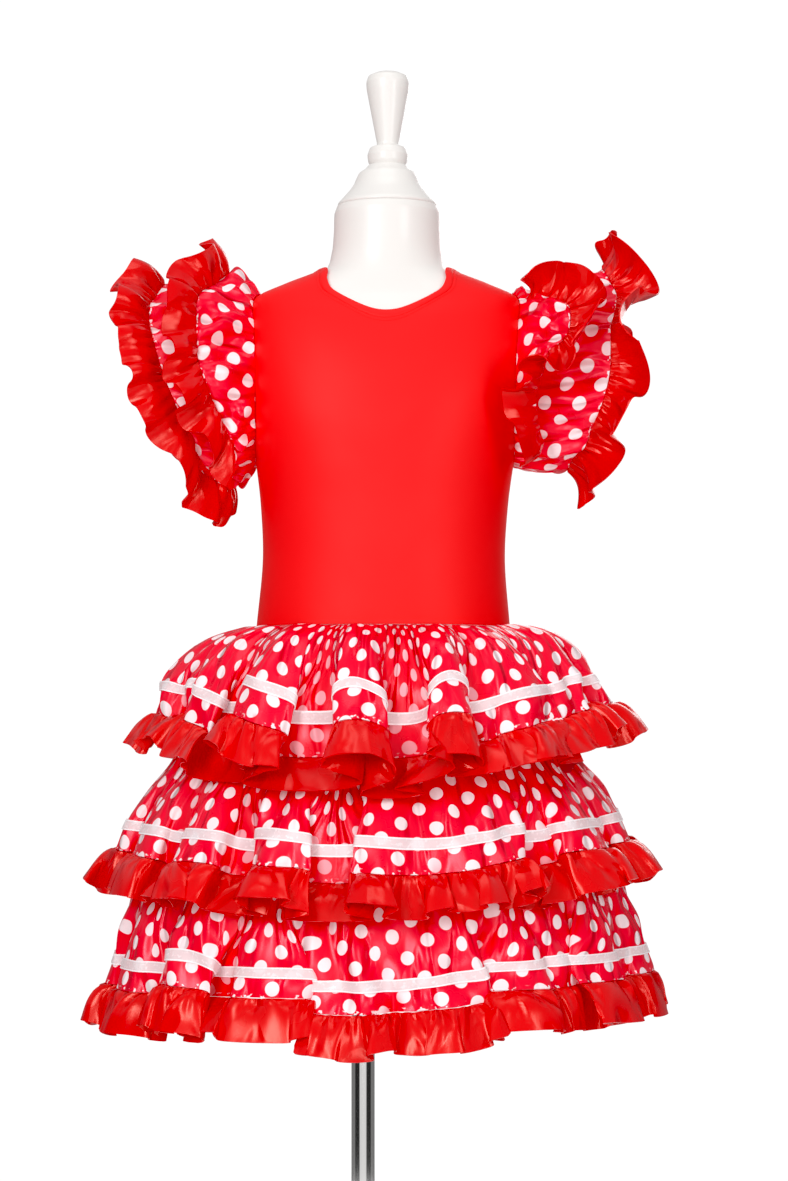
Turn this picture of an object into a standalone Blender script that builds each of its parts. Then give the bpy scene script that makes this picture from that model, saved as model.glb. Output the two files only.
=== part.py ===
"""A child's flamenco dress standing on a limbless dress form, in metres, +Z up, front towards -Y.

The stand's pole is the Z axis and its base rests on z = 0. Angles go round a body in degrees: 0 is
the front, 90 the wearer's left (+X), 180 the back. Every piece of cloth is a surface worked out from
these sizes, then given its wall.
"""

import math

import bmesh
import bpy
from mathutils import Vector

NAME = "flamenco_dress"

# Cloth
CLOTH = 0.0012  # wall of every cut piece
TRIM = 0.0010  # wall of the ribbons
BINDING = 0.0018  # folded binding round the neck
SEAM = 0.0009  # between the mid surfaces of two pieces that are sewn edge to edge
EASE = 0.0022  # from the form to the bodice's mid surface
RIBBON_LIFT = 0.0006  # between a tier and the ribbon that lies on it
BINDING_WIDTH = 0.008
FRILL_WIDTH = 0.036

# Heights
NECK_LOW_FRONT = 0.8995
NECK_LOW_BACK = 0.9270
HEM_SEAMS = (0.550, 0.446, 0.347)  # where each tier meets its frill, at the front
WAIST = 0.6435
UNDERARM = 0.779
SHOULDER = 0.917
NECK_POINT = 0.941
NECK_TOP = 0.9965
FORM_FOOT = 0.480

# Stand
POLE_RADIUS = 0.00975
BASE_RADIUS = 0.140
BASE_HEIGHT = 0.010
LEAN_FOOT = 0.0140  # the form's centre line at LEAN_HEIGHT
LEAN_HEIGHT = 0.350
LEAN_SLOPE = 0.010
FIT = 0.0003  # between hard pieces that touch
BOSS_HEIGHT = 0.018  # the socket on the base that takes the pole

# The form's sections: height, half width, half depth, and how square the section is (2 is an ellipse).
TORSO = (
    (0.480, 0.090, 0.070, 2.2),
    (0.488, 0.101, 0.079, 2.2),
    (0.520, 0.108, 0.085, 2.2),
    (0.570, 0.1085, 0.086, 2.2),
    (0.6435, 0.1035, 0.081, 2.2),
    (0.700, 0.0988, 0.078, 2.2),
    (0.745, 0.1008, 0.079, 2.2),
    (0.779, 0.1050, 0.081, 2.2),
    (0.820, 0.1120, 0.081, 2.3),
    (0.860, 0.1160, 0.075, 2.3),
    (0.895, 0.1155, 0.064, 2.3),
    (0.917, 0.1090, 0.052, 2.3),
    (0.928, 0.0860, 0.048, 2.2),
    (0.941, 0.0540, 0.0455, 2.1),
    (0.955, 0.0470, 0.0440, 2.0),
    (0.975, 0.0448, 0.0430, 2.0),
    (0.991, 0.0444, 0.0428, 2.0),
    (0.9965, 0.0425, 0.0410, 2.0),
)
FORM_COLUMNS = 28

# Each tier: fall and spread of the cloth below its top seam, by the share of its length.
TIER_PROFILES = (
    (  # share, fall, spread beyond the waist
        (0.00, 0.000, 0.0052),
        (0.20, 0.005, 0.0290),
        (0.42, 0.022, 0.0550),
        (0.75, 0.062, 0.0760),
        (0.81, 0.069, 0.0785),
        (1.00, 0.093, 0.0870),
    ),
    (
        (0.00, 0.000, 0.0590),
        (0.25, 0.028, 0.0675),
        (0.50, 0.056, 0.0860),
        (0.77, 0.083, 0.0990),
        (0.83, 0.090, 0.1015),
        (1.00, 0.110, 0.1070),
    ),
    (
        (0.00, 0.000, 0.0860),
        (0.25, 0.026, 0.0970),
        (0.50, 0.055, 0.1060),
        (0.79, 0.086, 0.1130),
        (0.85, 0.093, 0.1145),
        (1.00, 0.111, 0.1180),
    ),
)
TIER_ROWS = ((0.0, 0.22, 0.75, 0.81, 1.0), (0.0, 0.4, 0.77, 0.83, 1.0), (0.0, 0.4, 0.79, 0.85, 1.0))
RIBBON_ROWS = slice(2, 4)  # the rows that the ribbon lies between
SIDE_LIFT = (0.016, 0.016, 0.0)  # how much higher a tier's seam hangs at the sides
LEFT_SAG = (0.001, 0.001, 0.004)
FOLD_DEPTH = (0.0115, 0.0090, 0.0090)  # at the hem, either way from the tier's mean surface
FOLD_GROWTH = 1.3  # how late down a tier its folds open
DEPTH_SHARE = 0.93  # the skirt spreads a little less to front and back than to the sides
FOLD_LIFT = (1.00, 0.55, 0.60)  # rise of a fold's crest for its outward swing
FOLD_SWAY = (0.060, 0.070, 0.070)  # share of a fold's width that its crest overhangs

# The folds of each tier: angle of the crest, strength.
TIER_FOLDS = (
    (
        (-76, 0.7), (-52, 1.1), (-30, 1.3), (-4, 1.0), (15, 1.2), (36, 1.0), (58, 1.1), (80, 0.8),
        (103, 1.0), (124, 0.8), (147, 1.2), (168, 0.9), (191, 1.1), (212, 1.0), (236, 1.2), (260, 0.9),
    ),
    (
        (-84, 0.8), (-61, 0.8), (-42, 1.2), (-20, 1.1), (1, 0.9), (22, 1.1), (50, 1.3), (73, 0.8),
        (96, 1.0), (118, 1.2), (141, 0.8), (161, 1.1), (184, 0.9), (206, 1.2), (228, 0.9), (252, 1.1),
    ),
    (
        (-86, 0.8), (-64, 0.9), (-42, 1.5), (-24, 0.9), (-6, 1.1), (12, 0.9), (32, 1.2), (53, 1.1),
        (75, 0.8), (97, 1.1), (118, 0.9), (139, 1.2), (161, 0.9), (182, 1.1), (203, 0.9), (226, 1.2),
        (250, 1.0),
    ),
)

# The waves of each frill: angle of the crest, strength.
FRILL_WAVES = (
    (
        (-84, 0.9), (-66, 1.2), (-50, 0.7), (-35, 1.4), (-20, 0.7), (-5, 1.1), (12, 1.0), (30, 1.4),
        (50, 0.6), (67, 1.2), (84, 0.9), (102, 1.2), (120, 0.8), (138, 1.3), (157, 0.8), (174, 1.1),
        (193, 1.0), (212, 1.3), (230, 0.8), (249, 1.2),
    ),
    (
        (-88, 0.9), (-70, 1.1), (-53, 0.8), (-38, 1.0), (-20, 1.1), (-2, 1.0), (16, 0.8), (33, 1.4),
        (51, 0.7), (70, 1.2), (88, 0.9), (106, 1.1), (124, 0.9), (142, 1.2), (160, 0.8), (178, 1.2),
        (197, 0.9), (216, 1.1), (235, 0.8), (254, 1.1),
    ),
    (
        (-84, 1.1), (-66, 0.8), (-46, 1.3), (-30, 0.8), (-14, 1.2), (4, 0.9), (20, 1.1), (37, 0.8),
        (54, 1.1), (72, 0.9), (90, 1.2), (108, 0.8), (126, 1.1), (145, 0.9), (163, 1.2), (181, 0.8),
        (200, 1.1), (219, 0.9), (238, 1.2), (257, 0.9),
    ),
)
FRILL_STEPS = 4  # lengths of wall in each wave
FRILL_ROWS = (0.0, 0.5, 1.0)

# The plain underskirt that carries the lower tiers: share of its height, spread beyond the waist.
SKIRT_BASE = ((0.00, 0.0028), (0.12, 0.0172), (0.45, 0.0568), (1.00, 0.0830))
SKIRT_BASE_COLUMNS = 24
SKIRT_BASE_END = 0.012  # below the lowest tier's top seam

# Rows of the bodice's panels, closer together where the armhole starts and where the shoulder turns.
BODICE_ROWS = (0.0, 0.24, 0.455, 0.475, 0.51, 0.60, 0.72, 0.83, 0.895, 0.925, 0.945, 1.0)
BODICE_COLUMNS = 18
NECK_ROUNDING = 0.12  # of the point of the neckline
NECK_CURVE = 1.8
SHOULDER_TILT = 0.42  # fall of the shoulder for each length across it
SIDE_GAP = 0.10  # degrees from the side seam to a panel's edge
FRILL_SLOPE = (40.0, 36.0, 24.0)  # degrees from straight down, halfway up a wave
SIDE_SLOPE = (14.0, 8.0, 2.0)  # and what the sides add
FRILL_SWING = (21.0, 22.0, 18.0)  # and what its waves add or take away
FRILL_CURL = 16.0  # degrees more at the free edge than at the seam
FRILL_SWAY = 0.075

# Armholes
ARMHOLE_DEPTH = 0.034
SLEEVE_SETBACK = 0.0034  # from the form to the edge that is sewn into the armhole
UPPER_SPREAD = 0.0034  # the upper flounce lies outside the lower one

# Sleeves, on the wearer's right (x < 0) and left (x > 0). Each row is a point round the armhole, with
# the seam and the frill's free edge measured from the armhole's middle, in millimetres.
SLEEVES = {
    "right": {
        "lower": (  # angle from the top, seam out, up, forward, edge out, up, forward
            (0, 69, 80, 0, 87, 100, 4),
            (45, 73, 50, 47, 97, 62, 59),
            (90, 62, 2, 60, 87, -2, 77),
            (135, 40, -50, 42, 54, -68, 54),
            (180, 16, -84, 4, 16, -116, 8),
            (225, 32, -54, -43, 46, -76, -54),
            (270, 56, 0, -60, 81, -4, -77),
            (315, 70, 50, -46, 94, 64, -58),
        ),
        "upper": (
            (-116, 6, -38, -46, 16, -58, -64),
            (-80, 32, 8, -68, 56, 6, -88),
            (-40, 32, 62, -52, 52, 80, -70),
            (0, 17, 88, 2, 24, 118, 4),
            (40, 34, 64, 53, 54, 82, 70),
            (80, 34, 12, 68, 58, 8, 88),
            (116, 8, -36, 46, 18, -56, 64),
        ),
    },
    "left": {
        "lower": (
            (0, 66, 92, 2, 78, 122, 4),
            (45, 72, 56, 47, 97, 70, 58),
            (90, 66, 4, 60, 91, 0, 76),
            (135, 50, -46, 46, 68, -66, 57),
            (180, 34, -70, 6, 46, -102, 8),
            (225, 42, -50, -44, 60, -70, -56),
            (270, 60, 2, -60, 85, 0, -77),
            (315, 70, 56, -46, 92, 74, -58),
        ),
        "upper": (
            (-116, 6, -38, -46, 16, -58, -64),
            (-80, 32, 8, -68, 56, 6, -88),
            (-40, 32, 62, -52, 52, 80, -70),
            (0, 18, 84, 6, 34, 112, 10),
            (40, 36, 62, 54, 58, 76, 74),
            (80, 30, 10, 70, 44, 8, 94),
            (124, 8, -50, 44, 14, -72, 60),
        ),
    },
}
SLEEVE_FOLDS = {"lower": 10, "upper": 8}
SLEEVE_WAVES = {"lower": 11, "upper": 9}
SLEEVE_BELLY = 0.006
SLEEVE_FOLD_DEPTH = 0.0028
SLEEVE_WAVE_DEPTH = 0.0085


# Reading tables -------------------------------------------------------------------------------------


def read_table(rows, at):
    """The other columns at a value of the first, on smooth curves through the rows."""
    last = len(rows) - 2
    i = 0
    while i < last and at > rows[i + 1][0]:
        i += 1
    start, end = rows[i], rows[i + 1]
    before, after = rows[max(i - 1, 0)], rows[min(i + 2, len(rows) - 1)]
    span = end[0] - start[0]
    t = min(max((at - start[0]) / span, 0.0), 1.0)
    found = []
    for c in range(1, len(start)):
        leave = (end[c] - before[c]) / (end[0] - before[0]) * span
        arrive = (after[c] - start[c]) / (after[0] - start[0]) * span
        found.append(
            (2 * t**3 - 3 * t**2 + 1) * start[c]
            + (t**3 - 2 * t**2 + t) * leave
            + (3 * t**2 - 2 * t**3) * end[c]
            + (t**3 - t**2) * arrive
        )
    return found


def read_round(rows, at):
    """The same for a table that goes once round, in degrees."""
    before = (rows[-1][0] - 360, *rows[-1][1:])
    ends = tuple((row[0] + 360, *row[1:]) for row in rows[:2])
    return read_table((before, *rows, *ends), (at - rows[0][0]) % 360 + rows[0][0])


def read_wave(crests, at):
    """(swing, sway, width) of a row of waves at an angle: the swing is 1 at a crest of strength 1, and
    the sway spreads each crest and each hollow sideways."""
    at = (at - crests[0][0]) % 360 + crests[0][0]
    i = sum(1 for crest in crests if crest[0] <= at) - 1
    angle, strength = crests[i]
    following, next_strength = (crests[i + 1] if i + 1 < len(crests)
                                else (crests[0][0] + 360, crests[0][1]))
    phase = (at - angle) / (following - angle)
    level = strength + (next_strength - strength) * phase
    swing = level * math.cos(math.tau * phase)
    sway = level * math.sin(2 * math.tau * phase)
    return swing, sway, following - angle


def uneven(count, first, span, wobble):
    """Crests of like waves, evenly spread but for a slow wobble."""
    rows = []
    for i in range(count):
        shift = wobble * math.sin(2.4 * i + 0.7)
        rows.append((first + span * (i + shift) / count, 1.0 + 0.25 * math.sin(3.7 * i + 1.0)))
    return tuple(rows)


def wave_stops(crests, steps):
    """Angles all round that land on every crest and hollow."""
    stops = []
    for i, (angle, _) in enumerate(crests):
        following = crests[i + 1][0] if i + 1 < len(crests) else crests[0][0] + 360
        stops += [angle + (following - angle) * k / steps for k in range(steps)]
    return stops


# Surfaces -------------------------------------------------------------------------------------------


def lean(height):
    return LEAN_FOOT + (height - LEAN_HEIGHT) * LEAN_SLOPE


def power(value, exponent):
    return math.copysign(abs(value) ** exponent, value)


def section(angle, half_width, half_depth, square, height):
    turn = math.radians(angle)
    x = half_width * power(math.sin(turn), 2 / square)
    y = -half_depth * power(math.cos(turn), 2 / square)
    return Vector((lean(height) + x, y, height))


def body(angle, height, off):
    """A point this far outside the form."""
    half_width, half_depth, square = read_table(TORSO, height)
    point = section(angle, half_width, half_depth, square, height)
    along = section(angle + 1, half_width, half_depth, square, height)
    along -= section(angle - 1, half_width, half_depth, square, height)
    step = 0.002
    low, high = read_table(TORSO, height - step), read_table(TORSO, height + step)
    rise = section(angle, *high, height + step) - section(angle, *low, height - step)
    return point + along.cross(rise).normalized() * off


def skirt_ring(angle, spread, height):
    half_width, half_depth, square = read_table(TORSO, WAIST)
    square = 2 + (square - 2) * math.exp(-spread / 0.02)
    return section(angle, half_width + spread, half_depth + DEPTH_SHARE * spread, square, height)


def tier_top(tier):
    return HEM_SEAMS[tier] + TIER_PROFILES[tier][-1][1]


def tier_point(tier, angle, share):
    fall, spread = read_table(TIER_PROFILES[tier], share)
    swing, sway, width = read_wave(TIER_FOLDS[tier], angle)
    reach = FOLD_DEPTH[tier] * share**FOLD_GROWTH
    turned = angle + FOLD_SWAY[tier] * width * sway * share
    height = tier_top(tier) - fall + FOLD_LIFT[tier] * reach * swing * share
    side = math.sin(math.radians(angle))
    height += (SIDE_LIFT[tier] * side**2 + LEFT_SAG[tier] * side) * share
    return skirt_ring(turned, spread + reach * swing, height)


def frill_point(tier, angle, share):
    """A frill hangs from its tier's seam and swings out at each crest, more towards its free edge."""
    swing, sway, width = read_wave(FRILL_WAVES[tier], angle)
    turned = angle + FRILL_SWAY * width * sway * share
    seam = tier_point(tier, turned, 1.0)
    above = tier_point(tier, turned, 0.96)
    outward = Vector((math.sin(math.radians(turned)), -math.cos(math.radians(turned)), 0))
    side = math.sin(math.radians(angle))
    slope = FRILL_SLOPE[tier] + SIDE_SLOPE[tier] * side**2 + FRILL_SWING[tier] * swing
    slope = math.radians(slope - FRILL_CURL * (1 - share) / 2)
    run = outward * math.sin(slope) - Vector((0, 0, math.cos(slope)))
    return seam + (seam - above).normalized() * SEAM + run * (FRILL_WIDTH * share)


def neckline(angle, below):
    """Height of the neck's edge, or of a line that runs this far below it."""
    side = math.hypot(math.sin(math.radians(angle)), NECK_ROUNDING) - NECK_ROUNDING
    side /= math.hypot(1, NECK_ROUNDING) - NECK_ROUNDING
    low = (NECK_LOW_FRONT if math.cos(math.radians(angle)) > 0 else NECK_LOW_BACK) - below
    high = NECK_POINT - SHOULDER_TILT * below
    return low + (high - low) * (1 - (1 - side) ** NECK_CURVE)


def armhole_edge(height):
    """Half the armhole's width at a height."""
    middle = (UNDERARM + SHOULDER) / 2
    reach = (SHOULDER - UNDERARM) / 2
    across = 1 - ((height - middle) / reach) ** 2
    return ARMHOLE_DEPTH * math.sqrt(max(across, 0.0))


def side_angle(height):
    """Where a panel of the bodice ends: at the side seam, or at the armhole."""
    _, half_depth, square = read_table(TORSO, height)
    share = armhole_edge(height) / half_depth
    open_by = math.degrees(math.asin(min(share ** (square / 2), 1.0)))
    return 90 - max(open_by, SIDE_GAP)


def bodice_point(across, up, back):
    """across runs from -1 to 1 between the sides, and up from 0 at the waist to 1 at the neck."""
    foot = WAIST + FIT
    below = BINDING_WIDTH + SEAM
    side_height = foot + (neckline(90, below) - foot) * up
    angle = across * (90 - (90 - side_angle(side_height)) * across**2)
    angle = 180 - angle if back else angle
    height = foot + (neckline(angle, below) - foot) * up
    return body(angle, height, EASE)


def armhole_point(side, angle, off, wider):
    """A point on the armhole's edge, this far off the form, on an edge moved out by wider."""
    turn = math.radians(angle)
    height = (UNDERARM + SHOULDER) / 2 + ((SHOULDER - UNDERARM) / 2 + wider) * math.cos(turn)
    _, half_depth, square = read_table(TORSO, height)
    forward = (ARMHOLE_DEPTH + wider) * math.sin(turn)
    tilt = math.degrees(math.asin(power(min(abs(forward) / half_depth, 1.0), square / 2)))
    place = 90 - math.copysign(tilt, forward)
    return body(place if side == "left" else -place, height, off)


def sleeve_mark(side, layer, angle, edge):
    """The seam of a sleeve's frill, or the frill's free edge, from the sleeve's table."""
    rows = SLEEVES[side][layer]
    found = read_round(rows, angle) if layer == "lower" else read_table(rows, angle)
    out, up, forward = (value / 1000 for value in (found[3:] if edge else found[:3]))
    height = (UNDERARM + SHOULDER) / 2
    hang = read_table(TORSO, height)[0]
    x = (hang + out) * (1 if side == "left" else -1)
    return Vector((lean(height) + x, -forward, height + up))


def sleeve_fold_rows(layer, waves):
    count = (SLEEVE_WAVES if waves else SLEEVE_FOLDS)[layer]
    return uneven(count, -180, 360, 0.16)


def flounce_point(side, layer, angle, share):
    """A flounce spreads from the armhole to the seam of its frill."""
    upper = layer == "upper"
    wider = UPPER_SPREAD if upper else 0.0
    start = armhole_point(side, angle, SLEEVE_SETBACK, wider)
    end = sleeve_mark(side, layer, angle, False)
    turn = math.radians(angle)
    outward = Vector((0, -math.sin(turn), math.cos(turn)))
    swing, _, _ = read_wave(sleeve_fold_rows(layer, False), angle)
    swell = SLEEVE_BELLY * math.sin(math.pi * share) + SLEEVE_FOLD_DEPTH * swing * share
    return start.lerp(end, share) + outward * swell


def sleeve_frill_point(side, layer, angle, share):
    swing, sway, width = read_wave(sleeve_fold_rows(layer, True), angle)
    turned = angle + FRILL_SWAY * width * sway * share
    if layer == "upper":
        rows = SLEEVES[side][layer]
        turned = min(max(turned, rows[0][0]), rows[-1][0])
    seam = flounce_point(side, layer, turned, 1.0)
    above = flounce_point(side, layer, turned, 0.95)
    edge = sleeve_mark(side, layer, turned, True)
    run = (edge - seam).normalized() * FRILL_WIDTH
    along = sleeve_mark(side, layer, turned + 2, False) - sleeve_mark(side, layer, turned - 2, False)
    facing = run.cross(along).normalized()
    return (
        seam
        + (seam - above).normalized() * SEAM
        + run * share
        + facing * (SLEEVE_WAVE_DEPTH * swing * share**1.2)
    )


# Building -------------------------------------------------------------------------------------------


def clear_scene():
    for obj in list(bpy.data.objects):
        bpy.data.objects.remove(obj, do_unlink=True)


def finish(name, colour, roughness, metallic=0.0):
    material = bpy.data.materials.new(name)
    material.use_nodes = True
    shader = material.node_tree.nodes["Principled BSDF"]
    shader.inputs["Base Color"].default_value = (*colour, 1.0)
    shader.inputs["Roughness"].default_value = roughness
    shader.inputs["Metallic"].default_value = metallic
    return material


def add_object(name, mesh, material, collection, smooth=180):
    mesh.materials.append(material)
    mesh.shade_smooth()
    if smooth < 180:
        mesh.set_sharp_from_angle(angle=math.radians(smooth))
    obj = bpy.data.objects.new(name, mesh)
    collection.objects.link(obj)
    return obj


def loft(name, rows, closed_round, capped=False):
    """Joins rows of points into one surface. Each row runs the same way round."""
    shape = bmesh.new()
    made = [[shape.verts.new(point) for point in row] for row in rows]
    count = len(made[0])
    for above, below in zip(made, made[1:]):
        for i in range(count if closed_round else count - 1):
            j = (i + 1) % count
            shape.faces.new((above[i], below[i], below[j], above[j]))
    if capped:
        shape.faces.new(made[0])
        shape.faces.new(made[-1][::-1])
    bmesh.ops.recalc_face_normals(shape, faces=shape.faces)
    mesh = bpy.data.meshes.new(name)
    shape.to_mesh(mesh)
    shape.free()
    return mesh


def wall(obj, thickness):
    """Gives a surface its thickness, half to each side."""
    solidify = obj.modifiers.new("Wall", "SOLIDIFY")
    solidify.thickness = thickness
    solidify.offset = 0.0
    solidify.use_rim = True
    return obj


def moved_out(rows, distance):
    """A closed band's points moved along its normals, away from the form."""
    moved = []
    for r, row in enumerate(rows):
        above, below = rows[max(r - 1, 0)], rows[min(r + 1, len(rows) - 1)]
        line = []
        for i, point in enumerate(row):
            along = row[(i + 1) % len(row)] - row[i - 1]
            normal = along.cross(above[i] - below[i]).normalized()
            line.append(point + normal * distance)
        moved.append(line)
    return moved


def turned_solid(name, profile, steps, material, collection, place):
    """A turned shape from a profile of (radius, height) that runs down its outer side."""
    mesh = bpy.data.meshes.new(name)
    points = [(radius, 0.0, height) for radius, height in profile]
    mesh.from_pydata(points, [(i, i + 1) for i in range(len(points) - 1)], [])
    obj = add_object(name, mesh, material, collection)
    obj.location = place
    screw = obj.modifiers.new("Turn", "SCREW")
    screw.axis = "Z"
    screw.steps = steps
    screw.render_steps = steps
    screw.use_merge_vertices = True
    screw.merge_threshold = 0.00001
    screw.use_smooth_shade = True
    return obj


def make_skirt(collection, satin, dotted, lining, organza):
    angles = [360 * i / SKIRT_BASE_COLUMNS for i in range(SKIRT_BASE_COLUMNS)]
    length = WAIST - tier_top(2) + SKIRT_BASE_END
    rows = [[skirt_ring(angle, spread, WAIST - FIT - length * share) for angle in angles]
            for share, spread in SKIRT_BASE]
    wall(add_object("skirt_base", loft("skirt_base", rows, True), lining, collection), CLOTH)
    for tier in range(3):
        stops = wave_stops(FRILL_WAVES[tier], FRILL_STEPS)
        rows = [[tier_point(tier, angle, share) for angle in stops] for share in TIER_ROWS[tier]]
        name = f"tier_{tier + 1}"
        wall(add_object(name, loft(name, rows, True), dotted, collection), CLOTH)
        lifted = moved_out(rows, CLOTH / 2 + RIBBON_LIFT + TRIM / 2)
        name = f"ribbon_{tier + 1}"
        wall(add_object(name, loft(name, lifted[RIBBON_ROWS], True), organza, collection), TRIM)
        rows = [[frill_point(tier, angle, share) for angle in stops] for share in FRILL_ROWS]
        name = f"frill_{tier + 1}"
        wall(add_object(name, loft(name, rows, True), satin, collection), CLOTH)


def make_bodice(collection, stretch):
    for name, back in (("bodice_front", False), ("bodice_back", True)):
        rows = [
            [bodice_point(2 * i / BODICE_COLUMNS - 1, up, back) for i in range(BODICE_COLUMNS + 1)]
            for up in BODICE_ROWS
        ]
        wall(add_object(name, loft(name, rows, False), stretch, collection), CLOTH)
    angles = [180 * i / BODICE_COLUMNS for i in range(2 * BODICE_COLUMNS)]
    rows = [[body(angle, neckline(angle, below), EASE) for angle in angles]
            for below in (0.0, BINDING_WIDTH)]
    wall(add_object("neck_binding", loft("neck_binding", rows, True), stretch, collection), BINDING)


def make_sleeves(collection, satin, dotted):
    for side in ("right", "left"):
        for layer in ("lower", "upper"):
            crests = sleeve_fold_rows(layer, True)
            stops = wave_stops(crests, FRILL_STEPS)
            closed = layer == "lower"
            if not closed:
                first, last = SLEEVES[side][layer][0][0], SLEEVES[side][layer][-1][0]
                stops = [(stop + 180) % 360 - 180 for stop in stops]
                inner = sorted(stop for stop in stops if first + 4 < stop < last - 4)
                stops = [first, *inner, last]
            rows = [[flounce_point(side, layer, angle, share) for angle in stops]
                    for share in FRILL_ROWS]
            name = f"sleeve_{side}_{layer}_flounce"
            wall(add_object(name, loft(name, rows, closed), dotted, collection), CLOTH)
            rows = [[sleeve_frill_point(side, layer, angle, share) for angle in stops]
                    for share in FRILL_ROWS]
            name = f"sleeve_{side}_{layer}_frill"
            wall(add_object(name, loft(name, rows, closed), satin, collection), CLOTH)


def make_form(collection, white):
    angles = [360 * i / FORM_COLUMNS for i in range(FORM_COLUMNS)]
    rows = [[section(angle, *row[1:], row[0]) for angle in angles] for row in TORSO]
    add_object("form_torso", loft("form_torso", rows, True, True), white, collection, 50)
    cap_foot = NECK_TOP + FIT
    cap = ((0.0, 0.0345), (0.0165, 0.0345), (0.0188, 0.0332), (0.0200, 0.0305), (0.0262, 0.0235),
           (0.0335, 0.0140), (0.0392, 0.0060), (0.0415, 0.0030), (0.0418, 0.0008), (0.0410, 0.0),
           (0.0, 0.0))
    turned_solid("neck_cap", cap, 24, white, collection, (lean(cap_foot), 0, cap_foot))
    finial_foot = cap_foot + 0.0345 + FIT
    finial = ((0.0, 0.0785), (0.0100, 0.0780), (0.0165, 0.0750), (0.0181, 0.0700), (0.0178, 0.0640),
              (0.0092, 0.0190), (0.0092, 0.0170), (0.0150, 0.0150), (0.0172, 0.0090), (0.0165, 0.0030),
              (0.0145, 0.0), (0.0, 0.0))
    turned_solid("finial", finial, 20, white, collection, (lean(finial_foot), 0, finial_foot))


def make_stand(collection, chrome):
    foot = BASE_HEIGHT + BOSS_HEIGHT + FIT
    length = FORM_FOOT - FIT - foot
    shape = bmesh.new()
    bmesh.ops.create_cone(shape, cap_ends=True, segments=24, radius1=POLE_RADIUS, radius2=POLE_RADIUS,
                          depth=length)
    mesh = bpy.data.meshes.new("pole")
    shape.to_mesh(mesh)
    shape.free()
    pole = add_object("pole", mesh, chrome, collection, 50)
    pole.location = (0, 0, foot + length / 2)
    boss_top = BASE_HEIGHT + BOSS_HEIGHT
    base = ((0.0, boss_top), (0.0155, boss_top), (0.0175, boss_top - 0.002),
            (0.0185, BASE_HEIGHT + 0.001), (0.0300, BASE_HEIGHT), (BASE_RADIUS - 0.006, 0.0075),
            (BASE_RADIUS, 0.0035), (BASE_RADIUS, 0.0), (0.0, 0.0))
    turned_solid("stand_base", base, 36, chrome, collection, (0, 0, 0))


def main():
    clear_scene()
    collection = bpy.data.collections.new(NAME)
    bpy.context.scene.collection.children.link(collection)
    satin = finish("red_satin", (0.78, 0.01, 0.01), 0.32)
    dotted = finish("dotted_satin", (0.75, 0.03, 0.06), 0.38)
    stretch = finish("red_stretch", (0.85, 0.02, 0.01), 0.55)
    lining = finish("red_lining", (0.62, 0.02, 0.03), 0.60)
    organza = finish("white_organza", (0.92, 0.90, 0.92), 0.45)
    white = finish("white_form", (0.90, 0.90, 0.88), 0.35)
    chrome = finish("chrome", (0.75, 0.75, 0.76), 0.12, 1.0)
    make_skirt(collection, satin, dotted, lining, organza)
    make_bodice(collection, stretch)
    make_sleeves(collection, satin, dotted)
    make_form(collection, white)
    make_stand(collection, chrome)


main()
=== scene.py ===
# %% [markdown]
# # A child's flamenco dress on a dress form
# The dress has a smooth stretch bodice, three gathered tiers of dotted satin, and frills of plain
# satin on the tiers and sleeves. It hangs on a white limbless form, on a steel pole. The packed
# model is loaded first, since every piece made here takes the place of one of its solids.

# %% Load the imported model
import math

import bpy
import numpy as np
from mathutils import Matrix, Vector


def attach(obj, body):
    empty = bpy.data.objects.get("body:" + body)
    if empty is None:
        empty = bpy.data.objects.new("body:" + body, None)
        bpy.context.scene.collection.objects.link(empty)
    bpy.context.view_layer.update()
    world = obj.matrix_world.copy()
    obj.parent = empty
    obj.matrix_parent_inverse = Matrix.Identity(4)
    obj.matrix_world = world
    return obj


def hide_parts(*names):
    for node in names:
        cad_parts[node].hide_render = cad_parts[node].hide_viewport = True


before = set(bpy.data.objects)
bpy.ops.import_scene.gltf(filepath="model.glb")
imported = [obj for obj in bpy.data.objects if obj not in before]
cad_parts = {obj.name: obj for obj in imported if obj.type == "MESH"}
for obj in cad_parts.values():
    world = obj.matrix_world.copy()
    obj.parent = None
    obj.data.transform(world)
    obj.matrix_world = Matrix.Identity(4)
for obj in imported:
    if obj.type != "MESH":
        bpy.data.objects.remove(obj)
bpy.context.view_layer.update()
print("nodes in the packed model:", len(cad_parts))


# %% [markdown]
# ## Camera and studio
# The camera looks straight ahead from a little below the waist, through a long lens that is shifted
# and not tilted, so that upright lines stay upright. Satin wants large soft lights, which draw
# soft streaks on it: the strongest stands to the left of the camera.

# %% Camera
LENS, SENSOR, LENS_SHIFT = 79.83, 36, 0.1097  # mm, mm along the frame's longer side, share of it
EYE = (0.026, -2.2, 0.5662)
EXPOSURE, BLACK = 0.06, 0.019  # a black level over 0 deepens the darkest reds

scene = bpy.context.scene
camera_data = bpy.data.cameras.new("camera")
camera_data.sensor_width, camera_data.lens = SENSOR, LENS
camera_data.shift_y, camera_data.clip_end = LENS_SHIFT, 60
camera = bpy.data.objects.new("camera", camera_data)
camera.location, camera.rotation_euler = EYE, (math.radians(90), 0, 0)
scene.collection.objects.link(camera)
scene.camera = camera
scene.view_settings.view_transform = "Standard"
scene.view_settings.exposure = EXPOSURE
scene.view_settings.use_curve_mapping = True
scene.view_settings.curve_mapping.black_level = (BLACK,) * 3
print("camera at", EYE, "with a lens of", LENS, "mm")


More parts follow.
